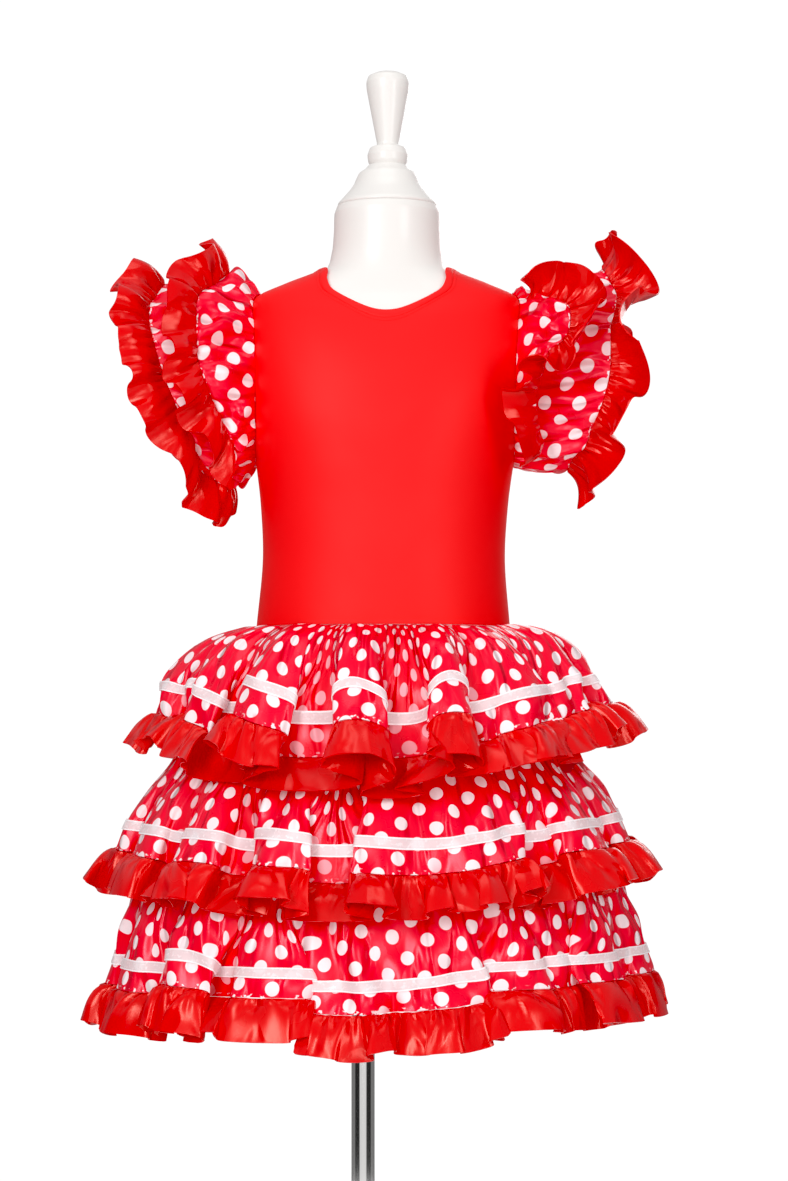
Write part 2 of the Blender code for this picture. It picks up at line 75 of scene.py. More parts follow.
# %% Soft lights
LIGHTS = {  # place, height that it is aimed at, its width and height, watts
    "key_light": ((-1.2, -2.3, 1.45), 0.65, 0.8, 1.3, 29),
    "fill_light": ((1.5, -2, 1), 0.6, 0.6, 1.3, 13),
    "low_light": ((0.1, -2.5, 0.35), 0.6, 1, 0.5, 6),
    "top_light": ((0, -0.6, 2.6), 0.7, 1.2, 0.8, 4.5),
    "back_light": ((0.8, 2.4, 1.6), 0.7, 1.2, 1.2, 12),
}
for name, (place, aim, width, height, watts) in LIGHTS.items():
    data = bpy.data.lights.new(name, "AREA")
    data.shape, data.size, data.size_y, data.energy = "RECTANGLE", width, height, watts
    light = bpy.data.objects.new(name, data)
    light.location = place
    light.rotation_euler = (Vector((0, 0, aim)) - Vector(place)).to_track_quat("-Z", "Y").to_euler()
    scene.collection.objects.link(light)
print("soft lights:", len(LIGHTS))


# %% [markdown]
# ## Shader maths
# A finish is a tree of shader nodes. Wired one by one, they hide what the pattern is. So one small
# class wraps a socket and adds a Math node for each operator, and a pattern reads like a recipe.

# %% Wires
class Wire:
    """A value on its way through a finish."""

    def __init__(self, finish, socket):
        self.finish, self.socket = finish, socket

    def maths(self, operation, *values):
        return self.finish.node("Math", {"operation": operation}, dict(enumerate(values)))

    def __add__(self, other):
        return self.maths("ADD", self, other)

    def __sub__(self, other):
        return self.maths("SUBTRACT", self, other)

    def __rsub__(self, other):
        return self.maths("SUBTRACT", other, self)

    def __mul__(self, other):
        return self.maths("MULTIPLY", self, other)

    def __pow__(self, other):
        return self.maths("POWER", self, other)

    def __rpow__(self, other):
        return self.maths("POWER", other, self)

    __radd__, __rmul__ = __add__, __mul__

    def part(self):
        """What is left after the whole turns."""
        return self.maths("FRACT", self)

    def step(self, low, high):
        """0 under low, 1 over high, and a soft rise between. low may be the higher one."""
        ways = {"interpolation_type": "SMOOTHSTEP"}
        return self.finish.node("MapRange", ways, {0: self, 1: low, 2: high})


print("operators of a wire:", "+ - * **")


# %% Finishes
class Finish:
    """The nodes of a material, or of the world, while it is made."""

    def __init__(self, owner):
        owner.use_nodes = True
        self.owner, self.tree = owner, owner.node_tree
        self.tree.nodes.clear()

    def node(self, kind, settings=None, sockets=None, output=0):
        """A shader node: its settings first, then the values or links of its sockets."""
        made = self.tree.nodes.new("ShaderNode" + kind)
        for key, value in (settings or {}).items():
            setattr(made, key, value)
        for key, value in (sockets or {}).items():
            if isinstance(value, Wire):
                self.tree.links.new(value.socket, made.inputs[key])
            else:
                made.inputs[key].default_value = value
        return Wire(self, made.outputs[output]) if made.outputs else made

    def split(self, vector):
        """Its X, Y and Z."""
        first = self.node("SeparateXYZ", None, {0: vector})
        return [Wire(self, socket) for socket in first.socket.node.outputs]

    def flat_cloth(self):
        """The place on the cloth as it was cut, and its across and down, in metres."""
        place = self.node("UVMap", {"uv_map": "cloth"})
        return place, *self.split(place)[:2]

    def solid_place(self):
        """The place in the object itself, in metres."""
        return self.node("TexCoord", None, None, 3)

    def measure(self, name):
        """A number kept at each point of the mesh."""
        return self.node("Attribute", {"attribute_name": name}, None, 2)

    def mixed(self, share, first, second):
        """A colour between two colours."""
        return self.node("Mix", {"data_type": "RGBA"}, {0: share, 6: first, 7: second}, 2)

    def noise(self, place, scale, detail):
        sockets = {"Vector": place, "Scale": scale, "Detail": detail}
        return self.node("TexNoise", None, sockets)

    def bump(self, height, strength, distance, **under):
        sockets = {"Strength": strength, "Distance": distance, "Height": height, **under}
        return self.node("Bump", None, sockets)

    def shade(self, **sockets):
        """Ends the finish with one Principled shader. Sockets are written with _ for a space."""
        named = {key.replace("_", " "): value for key, value in sockets.items()}
        surface = self.node("BsdfPrincipled", None, named)
        self.node("OutputMaterial", None, {"Surface": surface})
        return self.owner


def new_finish(name):
    return Finish(bpy.data.materials.new(name))


PURE_WHITE = (1, 1, 1, 1)  # red, green, blue and alpha
print("finishes so far:", len(bpy.data.materials))


# %% [markdown]
# ## Surround and floor
# The camera sees a white sweep of paper with no corner. Satin and chrome mirror the rest of the
# studio, which is dimmer, with dark flags at both sides of the camera and a grey wall behind. So
# the world shader shows white to the camera and the room to everything else.

# %% White surround
OVERHEAD, LEVEL, FLAG_SHADE, WALL_SHADE = 0.54, 0.7, 0.66, 0.5  # strengths of light

surround = bpy.data.worlds.new("surround")
studio = Finish(surround)
scene.world = surround
_, back, up = studio.split(studio.node("TexCoord"))
level = (up * up).step(0.16, 0.06)
flags = back.step(-0.87, -0.78) * back.step(-0.04, -0.16)
wall = back.step(-0.16, -0.04)
unseen = OVERHEAD * (1 - level) + level * (LEVEL - FLAG_SHADE * flags - WALL_SHADE * wall)
seen = studio.node("LightPath")
glow = seen + (1 - seen) * unseen
sky = studio.node("Background", None, {"Color": PURE_WHITE, "Strength": glow})
studio.node("OutputWorld", None, {"Surface": sky})
print("world:", surround.name)


# %% Floor
def make_floor():
    """A pale disc that glows towards its edge, until it can't be told from the surround."""
    finish = new_finish("pale_floor")
    length = {"operation": "LENGTH"}
    far = finish.node("VectorMath", length, {0: finish.solid_place()}, 1)
    matt = finish.node("BsdfDiffuse", None, {"Color": (0.86, 0.86, 0.86, 1)})
    bright = finish.node("Emission", None, {"Color": PURE_WHITE, "Strength": 1})
    edge = far.step(0.42, 0.92)
    surface = finish.node("MixShader", None, {0: edge, 1: matt, 2: bright})
    finish.node("OutputMaterial", None, {"Surface": surface})
    bpy.ops.mesh.primitive_circle_add(vertices=96, radius=0.98, fill_type="NGON")
    floor = bpy.context.object
    floor.name = "floor"
    floor.data.materials.append(finish.owner)
    return floor


print("stage:", make_floor().name)


# %% [markdown]
# ## Satin
# Satin shines because its threads float over several others before they dip. Its weave is a very
# shallow bump here, under the soft creases that run down from a gathered seam. The white spots of
# the dotted cloth could be painted, but worked out on the flat cloth they stay round there and the
# gathers squeeze them. Shade is painted into the hollows between folds: there the red turns deeper
# and the spots pinker, standing in for red light that bounces off the cloth around.

# %% Weave and creases
THREAD, THREAD_DEPTH = 0.0006, 0.0002  # width and height of one rib of the weave


def squared(wire):
    """A row of grooves, one for each whole turn of the wire."""
    return (wire.part() - 0.5) ** 2


def satin_weave(finish, across, down, strength):
    ribs = squared(across * (1 / THREAD))
    floats = squared(down * (0.5 / THREAD) + across * (0.4 / THREAD))
    return finish.bump(ribs + 0.6 * floats, strength, THREAD_DEPTH)


def creases(finish, place, down, weave, reach, depth, scale, drawn_out):
    """Creases drawn out down the cloth. The finest fade this far below the seam."""
    fine = finish.node("Mapping", None, {0: place, 3: (1, 0.1, 1)})
    fine = finish.noise(fine, 150, 0)
    ways = {0: place, 2: (0, 0, 0.4), 3: (1, drawn_out, 1)}
    broad = finish.noise(finish.node("Mapping", None, ways), scale, 1)
    ridge = ((broad - 0.5) * (broad - 0.5) + 0.0004) ** 0.5
    height = 0.9 * fine * down.step(reach, 0) + 2 * broad - 1.6 * ridge
    return finish.bump(height, 0.8, depth, Normal=weave)


print("threads in a metre:", round(1 / THREAD))


# %% Dotted satin and red satin
DOT_PITCH = 0.0212  # from a spot to its nearest neighbour
DOT_RADIUS, DOT_BLUR = 0.0057, 0.00025
DOT_TURN = math.radians(52)  # how far the net is turned on the cloth
# The deeper crimson and the shaded spot are painted shade for the hollows between folds; the
# crimson also takes a little random mottle.
CRIMSON, MOTTLE_AND_PAINTED_SHADE_CRIMSON = (0.84, 0, 0.028, 1), (0.8, 0, 0.014, 1)
SPOT, SHADED_SPOT = (0.92, 0.87, 0.89, 1), (0.82, 0.26, 0.31, 1)
# The deeper red is painted shade for the hollows between folds, with a little random mottle.
RED, MOTTLE_AND_PAINTED_SHADE_RED = (0.72, 0, 0.006, 1), (0.62, 0, 0.006, 1)


def spots(across, down):
    """1 inside a spot and 0 outside, on a square net that stands on its corner."""
    c, s = math.cos(DOT_TURN) / DOT_PITCH, math.sin(DOT_TURN) / DOT_PITCH
    away = (squared(across * c + down * s) + squared(down * c - across * s)) ** 0.5
    return away.step((DOT_RADIUS + DOT_BLUR) / DOT_PITCH, (DOT_RADIUS - DOT_BLUR) / DOT_PITCH)


def dotted_satin():
    """Its last lines over the frill's seam also carry bits of white thread."""
    finish = new_finish("dotted_satin")
    place, across, down = finish.flat_cloth()
    hollow = finish.measure("hollow")
    mask = spots(across, down)
    stitches = finish.measure("share_down").step(0.97, 0.98)
    stitches = finish.noise(place, 240, 1).step(0.58, 0.62) * stitches
    mask = mask + stitches * (1 - mask)
    cloudy = finish.noise(place, 38, 3).step(0.3, 0.7)
    # Painted shade: the crimson turns deeper in the hollows between folds, with a little random
    # mottle.
    red = finish.mixed(hollow.step(0.05, 0.9) * 0.8 + cloudy * 0.12, CRIMSON, MOTTLE_AND_PAINTED_SHADE_CRIMSON)
    # Painted shade: the spots turn pink in the hollows between folds.
    white = finish.mixed(hollow.step(0.1, 1) * 0.8, SPOT, SHADED_SPOT)
    weave = satin_weave(finish, across, down, 0.1)
    surface = creases(finish, place, down, weave, 0.055, 0.0065, 60, 0.26)
    # The faint red emission is a painted glow, standing in for light that passes through the satin.
    return finish.shade(
        Base_Color=finish.mixed(mask, red, white), Roughness=0.26 + 0.06 * cloudy + 0.1 * mask,
        Normal=surface, Specular_IOR_Level=0.8, Specular_Tint=(1, 0.54, 0.62, 1),
        Emission_Color=(1, 0, 0.02, 1), Emission_Strength=0.07)


def red_satin():
    finish = new_finish("red_satin")
    place, across, down = finish.flat_cloth()
    cloudy = finish.noise(place, 30, 3).step(0.3, 0.7)
    # Painted shade: the red turns deeper in the hollows between folds, with a little random mottle.
    deep = finish.measure("hollow").step(0.05, 0.9) * 0.75 + cloudy * 0.15
    weave = satin_weave(finish, across, down, 0.12)
    surface = creases(finish, place, down, weave, 0.008, 0.0042, 42, 0.55)
    # The faint red emission is a painted glow, standing in for light that passes through the satin.
    return finish.shade(
        Base_Color=finish.mixed(deep, RED, MOTTLE_AND_PAINTED_SHADE_RED), Roughness=0.23 + 0.05 * cloudy,
        Normal=surface, Specular_IOR_Level=1, Specular_Tint=(1, 0.45, 0.36, 1),
        Emission_Color=(1, 0, 0.01, 1), Emission_Strength=0.03)


DOTTED, SATIN = dotted_satin(), red_satin()
print("satins:", DOTTED.name, SATIN.name)


# %% [markdown]
# ## The other finishes
# The bodice is a matt knit with a short nap, which lights up where it turns away: that is sheen.
# The ribbon is sheer with denser edges, where its Alpha is highest. The form has satin paint, the
# pole and base are chromed, and the lining has a plain weave.

# %% Stretch, ribbon, paint, steel and lining
def stretch_knit():
    finish = new_finish("red_stretch")
    place, across, down = finish.flat_cloth()
    cloudy = finish.noise(place, 14, 2).step(0.25, 0.75)
    red = finish.mixed(cloudy * 0.35, (0.9, 0.017, 0.02, 1), (0.87, 0.012, 0.017, 1))
    loops = squared(across * 1400) + squared(down * 900 + across * 700)
    knit = finish.bump(loops, 0.12, THREAD_DEPTH)
    return finish.shade(
        Base_Color=red, Roughness=0.5 + 0.06 * cloudy, Normal=knit,
        Specular_IOR_Level=0.28, Specular_Tint=(1, 0.85, 0.75, 1),
        Sheen_Weight=0.18, Sheen_Roughness=0.3, Sheen_Tint=(1, 0.35, 0.28, 1))


def organza():
    finish = new_finish("white_organza")
    place, across, _ = finish.flat_cloth()
    width = finish.measure("share_down")
    edge = ((width - 0.5) * (width - 0.5)).step(0.12, 0.17)
    glint = finish.noise(place, 260, 2).step(0.52, 0.7)
    # The faint white emission is a painted glow on the ribbon.
    return finish.shade(
        Base_Color=(0.97, 0.91, 0.93, 1), Roughness=0.42 - 0.15 * glint,
        Emission_Color=(1, 0.92, 0.94, 1), Emission_Strength=0.05,
        Alpha=0.54 + 0.4 * edge + 0.16 * glint, Specular_IOR_Level=0.7, Sheen_Weight=0.2,
        Normal=finish.bump(squared(across * 1500), 0.3, THREAD_DEPTH))


def painted_form():
    finish = new_finish("white_form")
    place = finish.solid_place()
    cloudy = finish.noise(place, 9, 3)
    paint = finish.mixed(cloudy, (0.71, 0.685, 0.66, 1), (0.68, 0.655, 0.63, 1))
    peel = finish.bump(finish.noise(place, 420, 2), 0.04, 0.0004)
    # The white emission is a painted glow, which brightens the form.
    return finish.shade(
        Base_Color=paint, Roughness=0.3 + 0.08 * cloudy, Normal=peel, Coat_Weight=0.15,
        Specular_IOR_Level=0.5, Emission_Color=(1, 0.97, 0.95, 1), Emission_Strength=0.16)


def chromed_steel():
    finish = new_finish("chrome")
    drawn = {0: finish.solid_place(), 1: (160, 160, 4)}
    streaks = finish.node("VectorMath", {"operation": "MULTIPLY"}, drawn)
    fine = finish.noise(streaks, 4, 3)
    shade = finish.mixed(fine, (0.92, 0.91, 0.9, 1), (0.82, 0.81, 0.8, 1))
    return finish.shade(Base_Color=shade, Metallic=1, Roughness=0.07 + 0.05 * fine)


def red_lining():
    finish = new_finish("red_lining")
    place, across, down = finish.flat_cloth()
    cloudy = finish.noise(place, 25, 3).step(0.3, 0.7)
    red = finish.mixed(cloudy * 0.5, (0.62, 0.01, 0.02, 1), (0.5, 0.006, 0.015, 1))
    plain = finish.bump(squared(across * 2500) + squared(down * 2500), 0.15, THREAD_DEPTH)
    return finish.shade(Base_Color=red, Roughness=0.62, Normal=plain)


STRETCH, ORGANZA, WHITE = stretch_knit(), organza(), painted_form()
CHROME, LINING = chromed_steel(), red_lining()
print("finishes:", [made.name for made in (STRETCH, ORGANZA, WHITE, CHROME, LINING)])


# %% [markdown]
# ## Reading the sizes
# A cutter notes a shape as a few sizes at marked places, and each size here is read on a smooth
# curve through such rows. Sizes are metres, the same as the solids', with +Z up and the front
# towards -Y. Angles are degrees, 0 at the front and 90 at the wearer's left. The functions take
# whole grids of numbers at once, which keeps large shells quick to make.

# %% Smooth curves through the rows
def table(rows, at, ring=False):
    """The other columns of a table at each value of its first, which may go round in degrees."""
    rows = np.array(rows, float)
    if ring:
        turn = np.eye(1, rows.shape[1]) * 360
        rows = np.concatenate([rows[-1:] - turn, rows, rows[:2] + turn])
        at = (at - rows[1, 0]) % 360 + rows[1, 0]
    keys, last = rows[:, 0], len(rows) - 1
    i = np.clip(np.searchsorted(keys, at) - 1, 0, last - 1)
    before, after = np.maximum(i - 1, 0), np.minimum(i + 2, last)
    span = keys[i + 1] - keys[i]
    t = np.clip((at - keys[i]) / span, 0, 1)
    found = []
    for values in rows.T[1:]:
        leave = (values[i + 1] - values[before]) / (keys[i + 1] - keys[before]) * span
        arrive = (values[after] - values[i]) / (keys[after] - keys[i]) * span
        found.append((2 * t**3 - 3 * t**2 + 1) * values[i] + (t**3 - 2 * t**2 + t) * leave
                     + (3 * t**2 - 2 * t**3) * values[i + 1] + (t**3 - t**2) * arrive)
    return found


def rise(value, low, high):
    """0 under low, 1 over high, and a soft rise between."""
    t = np.clip((value - low) / (high - low), 0, 1)
    return t * t * (3 - 2 * t)


def points(x, y, z):
    return np.stack(np.broadcast_arrays(x, y, z), axis=-1)


def unit(vectors):
    return vectors / np.linalg.norm(vectors, axis=-1, keepdims=True)


print("half way between rows of 0 and 1:", table(((0, 0), (1, 1)), 0.5)[0])


# %% Waves
def wave(crests, at):
    """(swing, sway, width) of a row of waves: out and in, sideways, and from crest to crest."""
    angles, levels = np.array([*crests, (crests[0][0] + 360, crests[0][1])], float).T
    at = (at - angles[0]) % 360 + angles[0]
    i = np.clip(np.searchsorted(angles, at, side="right") - 1, 0, len(crests) - 1)
    width = angles[i + 1] - angles[i]
    phase = (at - angles[i]) / width
    level = levels[i] + (levels[i + 1] - levels[i]) * phase
    return level * np.cos(math.tau * phase), level * np.sin(2 * math.tau * phase), width


def even_crests(count):
    """Crests of like waves, evenly spread but for a slow wobble."""
    return [(-180 + 360 * (i + 0.16 * math.sin(2.4 * i + 0.7)) / count,
             1 + 0.25 * math.sin(3.7 * i + 1)) for i in range(count)]


def ruffles(angle, count, seed):
    """A wave of this many small uneven crests."""
    chance = np.random.default_rng(seed)
    return wave([((i + chance.uniform(-0.28, 0.28)) * 360 / count, chance.uniform(0.4, 1.35))
                 for i in range(count)], angle)


def pinched(pucker):
    """The same waves as soft cushions with sharp dents between them."""
    return 2 * np.sqrt(np.maximum(0.95 - pucker, 0) / 1.9) - 1.2


def gathers(angle, share, seed, count, depth, reach, slant):
    """How far out the small folds under a gathered seam stand. Each has its own place, width,
    slant and length, and the longer ones run on after the others have faded."""
    chance = np.random.default_rng(seed)
    pitch = 360 / count
    places = (np.arange(count) + chance.uniform(-0.32, 0.32, count)) * pitch
    widths = pitch * chance.uniform(0.26, 0.42, count)
    lengths = reach * chance.uniform(0.35, 1.5, count)
    heights = depth * chance.uniform(0.45, 1.25, count)
    slants = chance.normal(0, slant, count)
    total = np.zeros(np.broadcast(angle, share).shape)
    for place, width, length, height, lean in zip(places, widths, lengths, heights, slants):
        off = (angle - place - lean * share + 180) % 360 - 180
        near = np.abs(off).min(axis=0) < 11 * width
        down = share if share.shape[1] == 1 else share[:, near]
        wide = width * (1 + 1.1 * down)
        total[:, near] += height * np.exp(-(off[:, near] / wide) ** 2 - (down / length) ** 1.6)
    return total - depth * 0.45 * np.exp(-(share / reach) ** 1.6)


def drapes(angle, share, seed, count=9, depth=0.0014):
    """Soft slanting folds that cross each other."""
    chance = np.random.default_rng(seed)
    total = 0
    for _ in range(count):
        turns, slant = chance.integers(16, 52), chance.normal(0, 2.6)
        phase, bend = chance.uniform(0, math.tau), chance.normal(0, 1.2) * np.sin(math.pi * share)
        total = total + np.cos(np.radians(angle) * turns + slant * share * math.pi + bend + phase)
    return depth * total * (0.45 + 0.55 * np.clip(share, 0, 1))


print("crests of a sleeve's folds:", [round(place) for place, _ in even_crests(8)])


# %% [markdown]
# ## From a grid to a shell
# Cloth could be simulated, but where its folds fall can't be chosen then. So each sheet is a grid
# of points, with rows down the cloth and columns across it. Its shell has two faces, half a wall to
# each side of the grid, and closed edges. The UV map keeps the place on the flat cloth in metres.

# %% Grids of points
CLOTH, TRIM, BINDING = 0.0012, 0.0008, 0.002  # walls of satin and knit, ribbon, and folded binding
SEAM = 0.0009  # between two sheets at their seam
FIT = 0.0003  # between hard pieces
HOLLOW = 0.006  # depth of a full hollow between folds
FINE = 1  # share of the columns that are made
measured = {}


def across_grid(count, first=-180, last=180, ring=True):
    return np.linspace(first, last, count, endpoint=not ring)[None, :]


def down_grid(count, first=0, last=1):
    return np.linspace(first, last, count)[:, None]


def joined(grid, ring):
    """A ring with its first column once more at the end. An open sheet stays as it is."""
    return np.concatenate([grid, grid[:, :1]], axis=1) if ring else grid


def normals(grid, ring):
    """Outward directions of a grid."""
    if ring:
        along = np.roll(grid, -1, axis=1) - np.roll(grid, 1, axis=1)
    else:
        along = np.gradient(grid, axis=1)
    return unit(np.cross(np.gradient(grid, axis=0), along))


def cloth_marks(grid, ring, ruler):
    """Across and down of each point on the flat cloth. The row at ruler's share isn't stretched."""
    grid = joined(grid, ring)
    row = grid[round(ruler * (len(grid) - 1))]
    across = np.cumsum([0, *np.linalg.norm(np.diff(row, axis=0), axis=-1)])
    down = np.cumsum(np.linalg.norm(np.diff(grid, axis=0, prepend=grid[:1]), axis=-1), axis=0)
    return np.stack([np.broadcast_to(across, down.shape), down], axis=-1)


def hollow_of(grid, ring, reach):
    """How far each point lies behind its neighbours across the cloth, from 0 to 1."""
    steps = range(-reach, reach + 1, max(reach // 4, 1))
    columns, mode = np.arange(grid.shape[1]), "wrap" if ring else "clip"
    middle = sum(np.take(grid, columns - step, axis=1, mode=mode) for step in steps) / len(steps)
    return np.clip(((middle - grid) * normals(middle, ring)).sum(axis=-1) / HOLLOW, 0, 1)


def area_of(grid, ring):
    """Area of one face of a sheet, in square metres."""
    grid = joined(grid, ring)
    corner = np.cross(grid[1:, 1:] - grid[:-1, :-1], grid[1:, :-1] - grid[:-1, 1:])
    return float(np.linalg.norm(corner, axis=-1).sum() / 2)


print("walls:", CLOTH, TRIM, BINDING, "m")


# %% Shells
def add_piece(name, mesh, finish, crease):
    """Puts a mesh in the place of the solid that its name starts with, in its finish's slot.
    Edges sharper than crease, in degrees, are shaded sharp."""
    mesh.materials.append(finish)
    mesh.shade_smooth()
    mesh.set_sharp_from_angle(angle=math.radians(crease))
    piece = bpy.data.objects.new(name, mesh)
    scene.collection.objects.link(piece)
    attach(piece, "root")
    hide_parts(name.rsplit("_", 1)[0])
    finish.name.split(".")[0]
    return piece


def cloth_piece(name, grid, ring, finish, ruler, reach, wall=CLOTH):
    """A sheet of cloth. Its hollows are measured over this reach of columns to each side."""
    rows, columns = grid.shape[:2]
    off = normals(grid, ring) * (wall / 2)
    corners = np.concatenate([(grid + off).reshape(-1, 3), (grid - off).reshape(-1, 3)])
    r, c = np.indices((rows - 1, columns - (not ring))).reshape(2, -1)
    d, e = np.arange(rows - 1), np.arange(columns - (not ring))
    rim = (0, 0, 1, 1)
    quads = [((r, r + 1, r + 1, r), (c, c, c + 1, c + 1), (0,) * 4),
             ((r, r, r + 1, r + 1), (c, c + 1, c + 1, c), (1,) * 4),
             ((0,) * 4, (e, e + 1, e + 1, e), rim), ((rows - 1,) * 4, (e + 1, e, e, e + 1), rim)]
    if not ring:
        quads += [((d + 1, d, d, d + 1), (0,) * 4, rim),
                  ((d, d + 1, d + 1, d), (columns - 1,) * 4, rim)]
    marks, faces, uv = cloth_marks(grid, ring, ruler), [], []
    for down, across, inner in quads:
        down, across = np.split(np.stack(np.broadcast_arrays(*down, *across), axis=1), 2, axis=1)
        faces.append(np.array(inner) * rows * columns + down * columns + across % columns)
        uv.append(marks[down, across])
    mesh = bpy.data.meshes.new(name)
    mesh.from_pydata(corners.tolist(), [], np.concatenate(faces).tolist())
    mesh.uv_layers.new(name="cloth").uv.foreach_set("vector", np.concatenate(uv).ravel())
    # The hollow measure is kept for the finishes, which paint shade into the hollows between folds
    # with it.
    kept = {"share_down": np.repeat(np.linspace(0, 1, rows), columns),
            "hollow": hollow_of(grid, ring, reach).ravel()}
    for label, values in kept.items():
        mesh.attributes.new(label, "FLOAT", "POINT").data.foreach_set("value", np.tile(values, 2))
    measured[name] = area_of(grid, ring)
    return add_piece(name, mesh, finish, 70)


print("columns are", FINE, "of the full count")


# %% [markdown]
# ## The body of the form
# The cloth is fitted to the form, so its shape comes first: a stack of rounded sections, which are
# easier to measure than a sculpted mesh. It leans a little to the left of the pole on the Z axis.

# %% Body of the form
WAIST, UNDERARM, SHOULDER = 0.6435, 0.779, 0.917
LEAN_FOOT, LEAN_HEIGHT, LEAN_SLOPE = 0.014, 0.35, 0.01
TORSO = (  # height, half width, half depth, and how square the section is
    (0.48, 0.09, 0.07, 2.2), (0.488, 0.101, 0.079, 2.2), (0.52, 0.108, 0.085, 2.2),
    (0.57, 0.1085, 0.086, 2.2), (WAIST, 0.1035, 0.081, 2.2), (0.7, 0.0988, 0.078, 2.2),
    (0.745, 0.1008, 0.079, 2.2), (UNDERARM, 0.105, 0.081, 2.2), (0.82, 0.112, 0.081, 2.3),
    (0.86, 0.116, 0.075, 2.3), (0.895, 0.1155, 0.064, 2.3), (SHOULDER, 0.109, 0.052, 2.3),
    (0.928, 0.086, 0.048, 2.2), (0.941, 0.054, 0.0455, 2.1), (0.955, 0.047, 0.044, 2),
    (0.975, 0.0448, 0.043, 2), (0.991, 0.0444, 0.0428, 2), (0.9965, 0.0425, 0.041, 2),
)
FORM_FOOT, NECK_TOP = TORSO[0][0], TORSO[-1][0]


def lean_at(height):
    return LEAN_FOOT + (height - LEAN_HEIGHT) * LEAN_SLOPE


def power(value, exponent):
    return np.sign(value) * np.abs(value) ** exponent


def section(angle, half_width, half_depth, square, height):
    turn = np.radians(angle)
    x = half_width * power(np.sin(turn), 2 / square)
    y = -half_depth * power(np.cos(turn), 2 / square)
    return points(lean_at(height) + x, y, height)


def body(angle, height, off):
    """Points this far outside the form."""
    angle, height = np.broadcast_arrays(angle, height)
    size, step = table(TORSO, height), 0.002
    along = section(angle + 1, *size, height) - section(angle - 1, *size, height)
    upward = (section(angle, *table(TORSO, height + step), height + step)
              - section(angle, *table(TORSO, height - step), height - step))
    out = unit(np.cross(along, upward))
    return section(angle, *size, height) + out * np.asarray(off)[..., None]


print("waist of the form:", [round(float(half), 3) for half in table(TORSO, WAIST)[:2]])


# %% [markdown]
# ## The tiers
# Three gathered tiers hang one under the other from a plain underskirt. A tier spreads from its
# seam, and broad folds open towards its hem. They also sway sideways at their flanks, so that the
# strongest lie over themselves. The outer folds stand out like pipes, whose edges lap over the
# cloth beside them near the hem and leave dark recesses. Gathers, puckers and slanting drapes come
# on top. A bump map would leave the outline smooth, so all of it is shape, with many columns.

# %% Sizes of the tiers
HEM_SEAMS = (0.55, 0.446, 0.347)
TIER_PROFILES = (  # share of the tier's length, fall, and spread beyond the waist
    ((0, 0, 0.0052), (0.2, 0.005, 0.029), (0.42, 0.022, 0.055),
     (0.75, 0.062, 0.076), (0.81, 0.069, 0.0785), (1, 0.093, 0.087)),
    ((0, 0, 0.059), (0.25, 0.028, 0.0675), (0.5, 0.056, 0.086),
     (0.77, 0.083, 0.099), (0.83, 0.09, 0.1015), (1, 0.11, 0.107)),
    ((0, 0, 0.086), (0.25, 0.026, 0.097), (0.5, 0.055, 0.106),
     (0.79, 0.086, 0.113), (0.85, 0.093, 0.1145), (1, 0.111, 0.118)),
)
DEPTH_SHARE = 0.93  # of the spread to the sides, to the front and back
FOLD_DEPTH, FOLD_GROWTH = (0.0115, 0.009, 0.009), 1.3
FOLD_LIFT = (1.15, 0.7, 0.15)  # how far the hem rises with a fold, in fold depths
FOLD_SKEW = 0.13  # turns the broad face of each fold at the sides to the front
FOLD_SWAY = 0.15  # enough for the strongest folds to overhang their neighbours
RECESS_LIFT = (0, 0, 0.007)  # of the hem between the outer folds
SIDE_LIFT, LEFT_SAG = (0.025, 0.017, 0.005), (0.004, 0.005, 0.006)
SIDE_TRIM = ((0.009, 0.001), (0.0035, 0.005), (0, 0))  # both sides, more at the left
SIDE_BEND = (0.007, 0, 0)
TIER_FOLDS = (  # angle of the crest, strength
    ((-76, 0.7), (-52, 1.1), (-30, 1.3), (-4, 1), (15, 1.2), (36, 1), (58, 1.1), (80, 0.8),
     (103, 1), (124, 0.8), (147, 1.2), (168, 0.9), (191, 1.1), (212, 1), (236, 1.2),
     (260, 0.9)),
    ((-84, 0.8), (-61, 0.8), (-42, 1.2), (-20, 1.1), (1, 0.9), (22, 1.1), (50, 1.3), (73, 0.8),
     (96, 1), (118, 1.2), (141, 0.8), (161, 1.1), (184, 0.9), (206, 1.2), (228, 0.9),
     (252, 1.1)),
    ((-86, 0.8), (-64, 0.9), (-42, 1.5), (-24, 0.9), (-6, 1.1), (12, 0.9), (32, 1.2), (53, 1.1),
     (75, 0.8), (97, 1.1), (118, 0.9), (139, 1.2), (161, 0.9), (182, 1.1), (203, 0.9),
     (226, 1.2), (250, 1)),
)
SMALL_GATHERS = (  # count, depth, reach down the cloth, slant: first the puckers, last long folds
    ((84, 0.002, 0.14, 1), (38, 0.0046, 0.55, 5), (17, 0.005, 1.2, 9)),
    ((80, 0.0018, 0.2, 1), (36, 0.0042, 0.7, 5), (17, 0.0044, 1.5, 8)),
    ((80, 0.0018, 0.2, 1), (36, 0.0042, 0.7, 4), (19, 0.0042, 1.5, 6)),
)
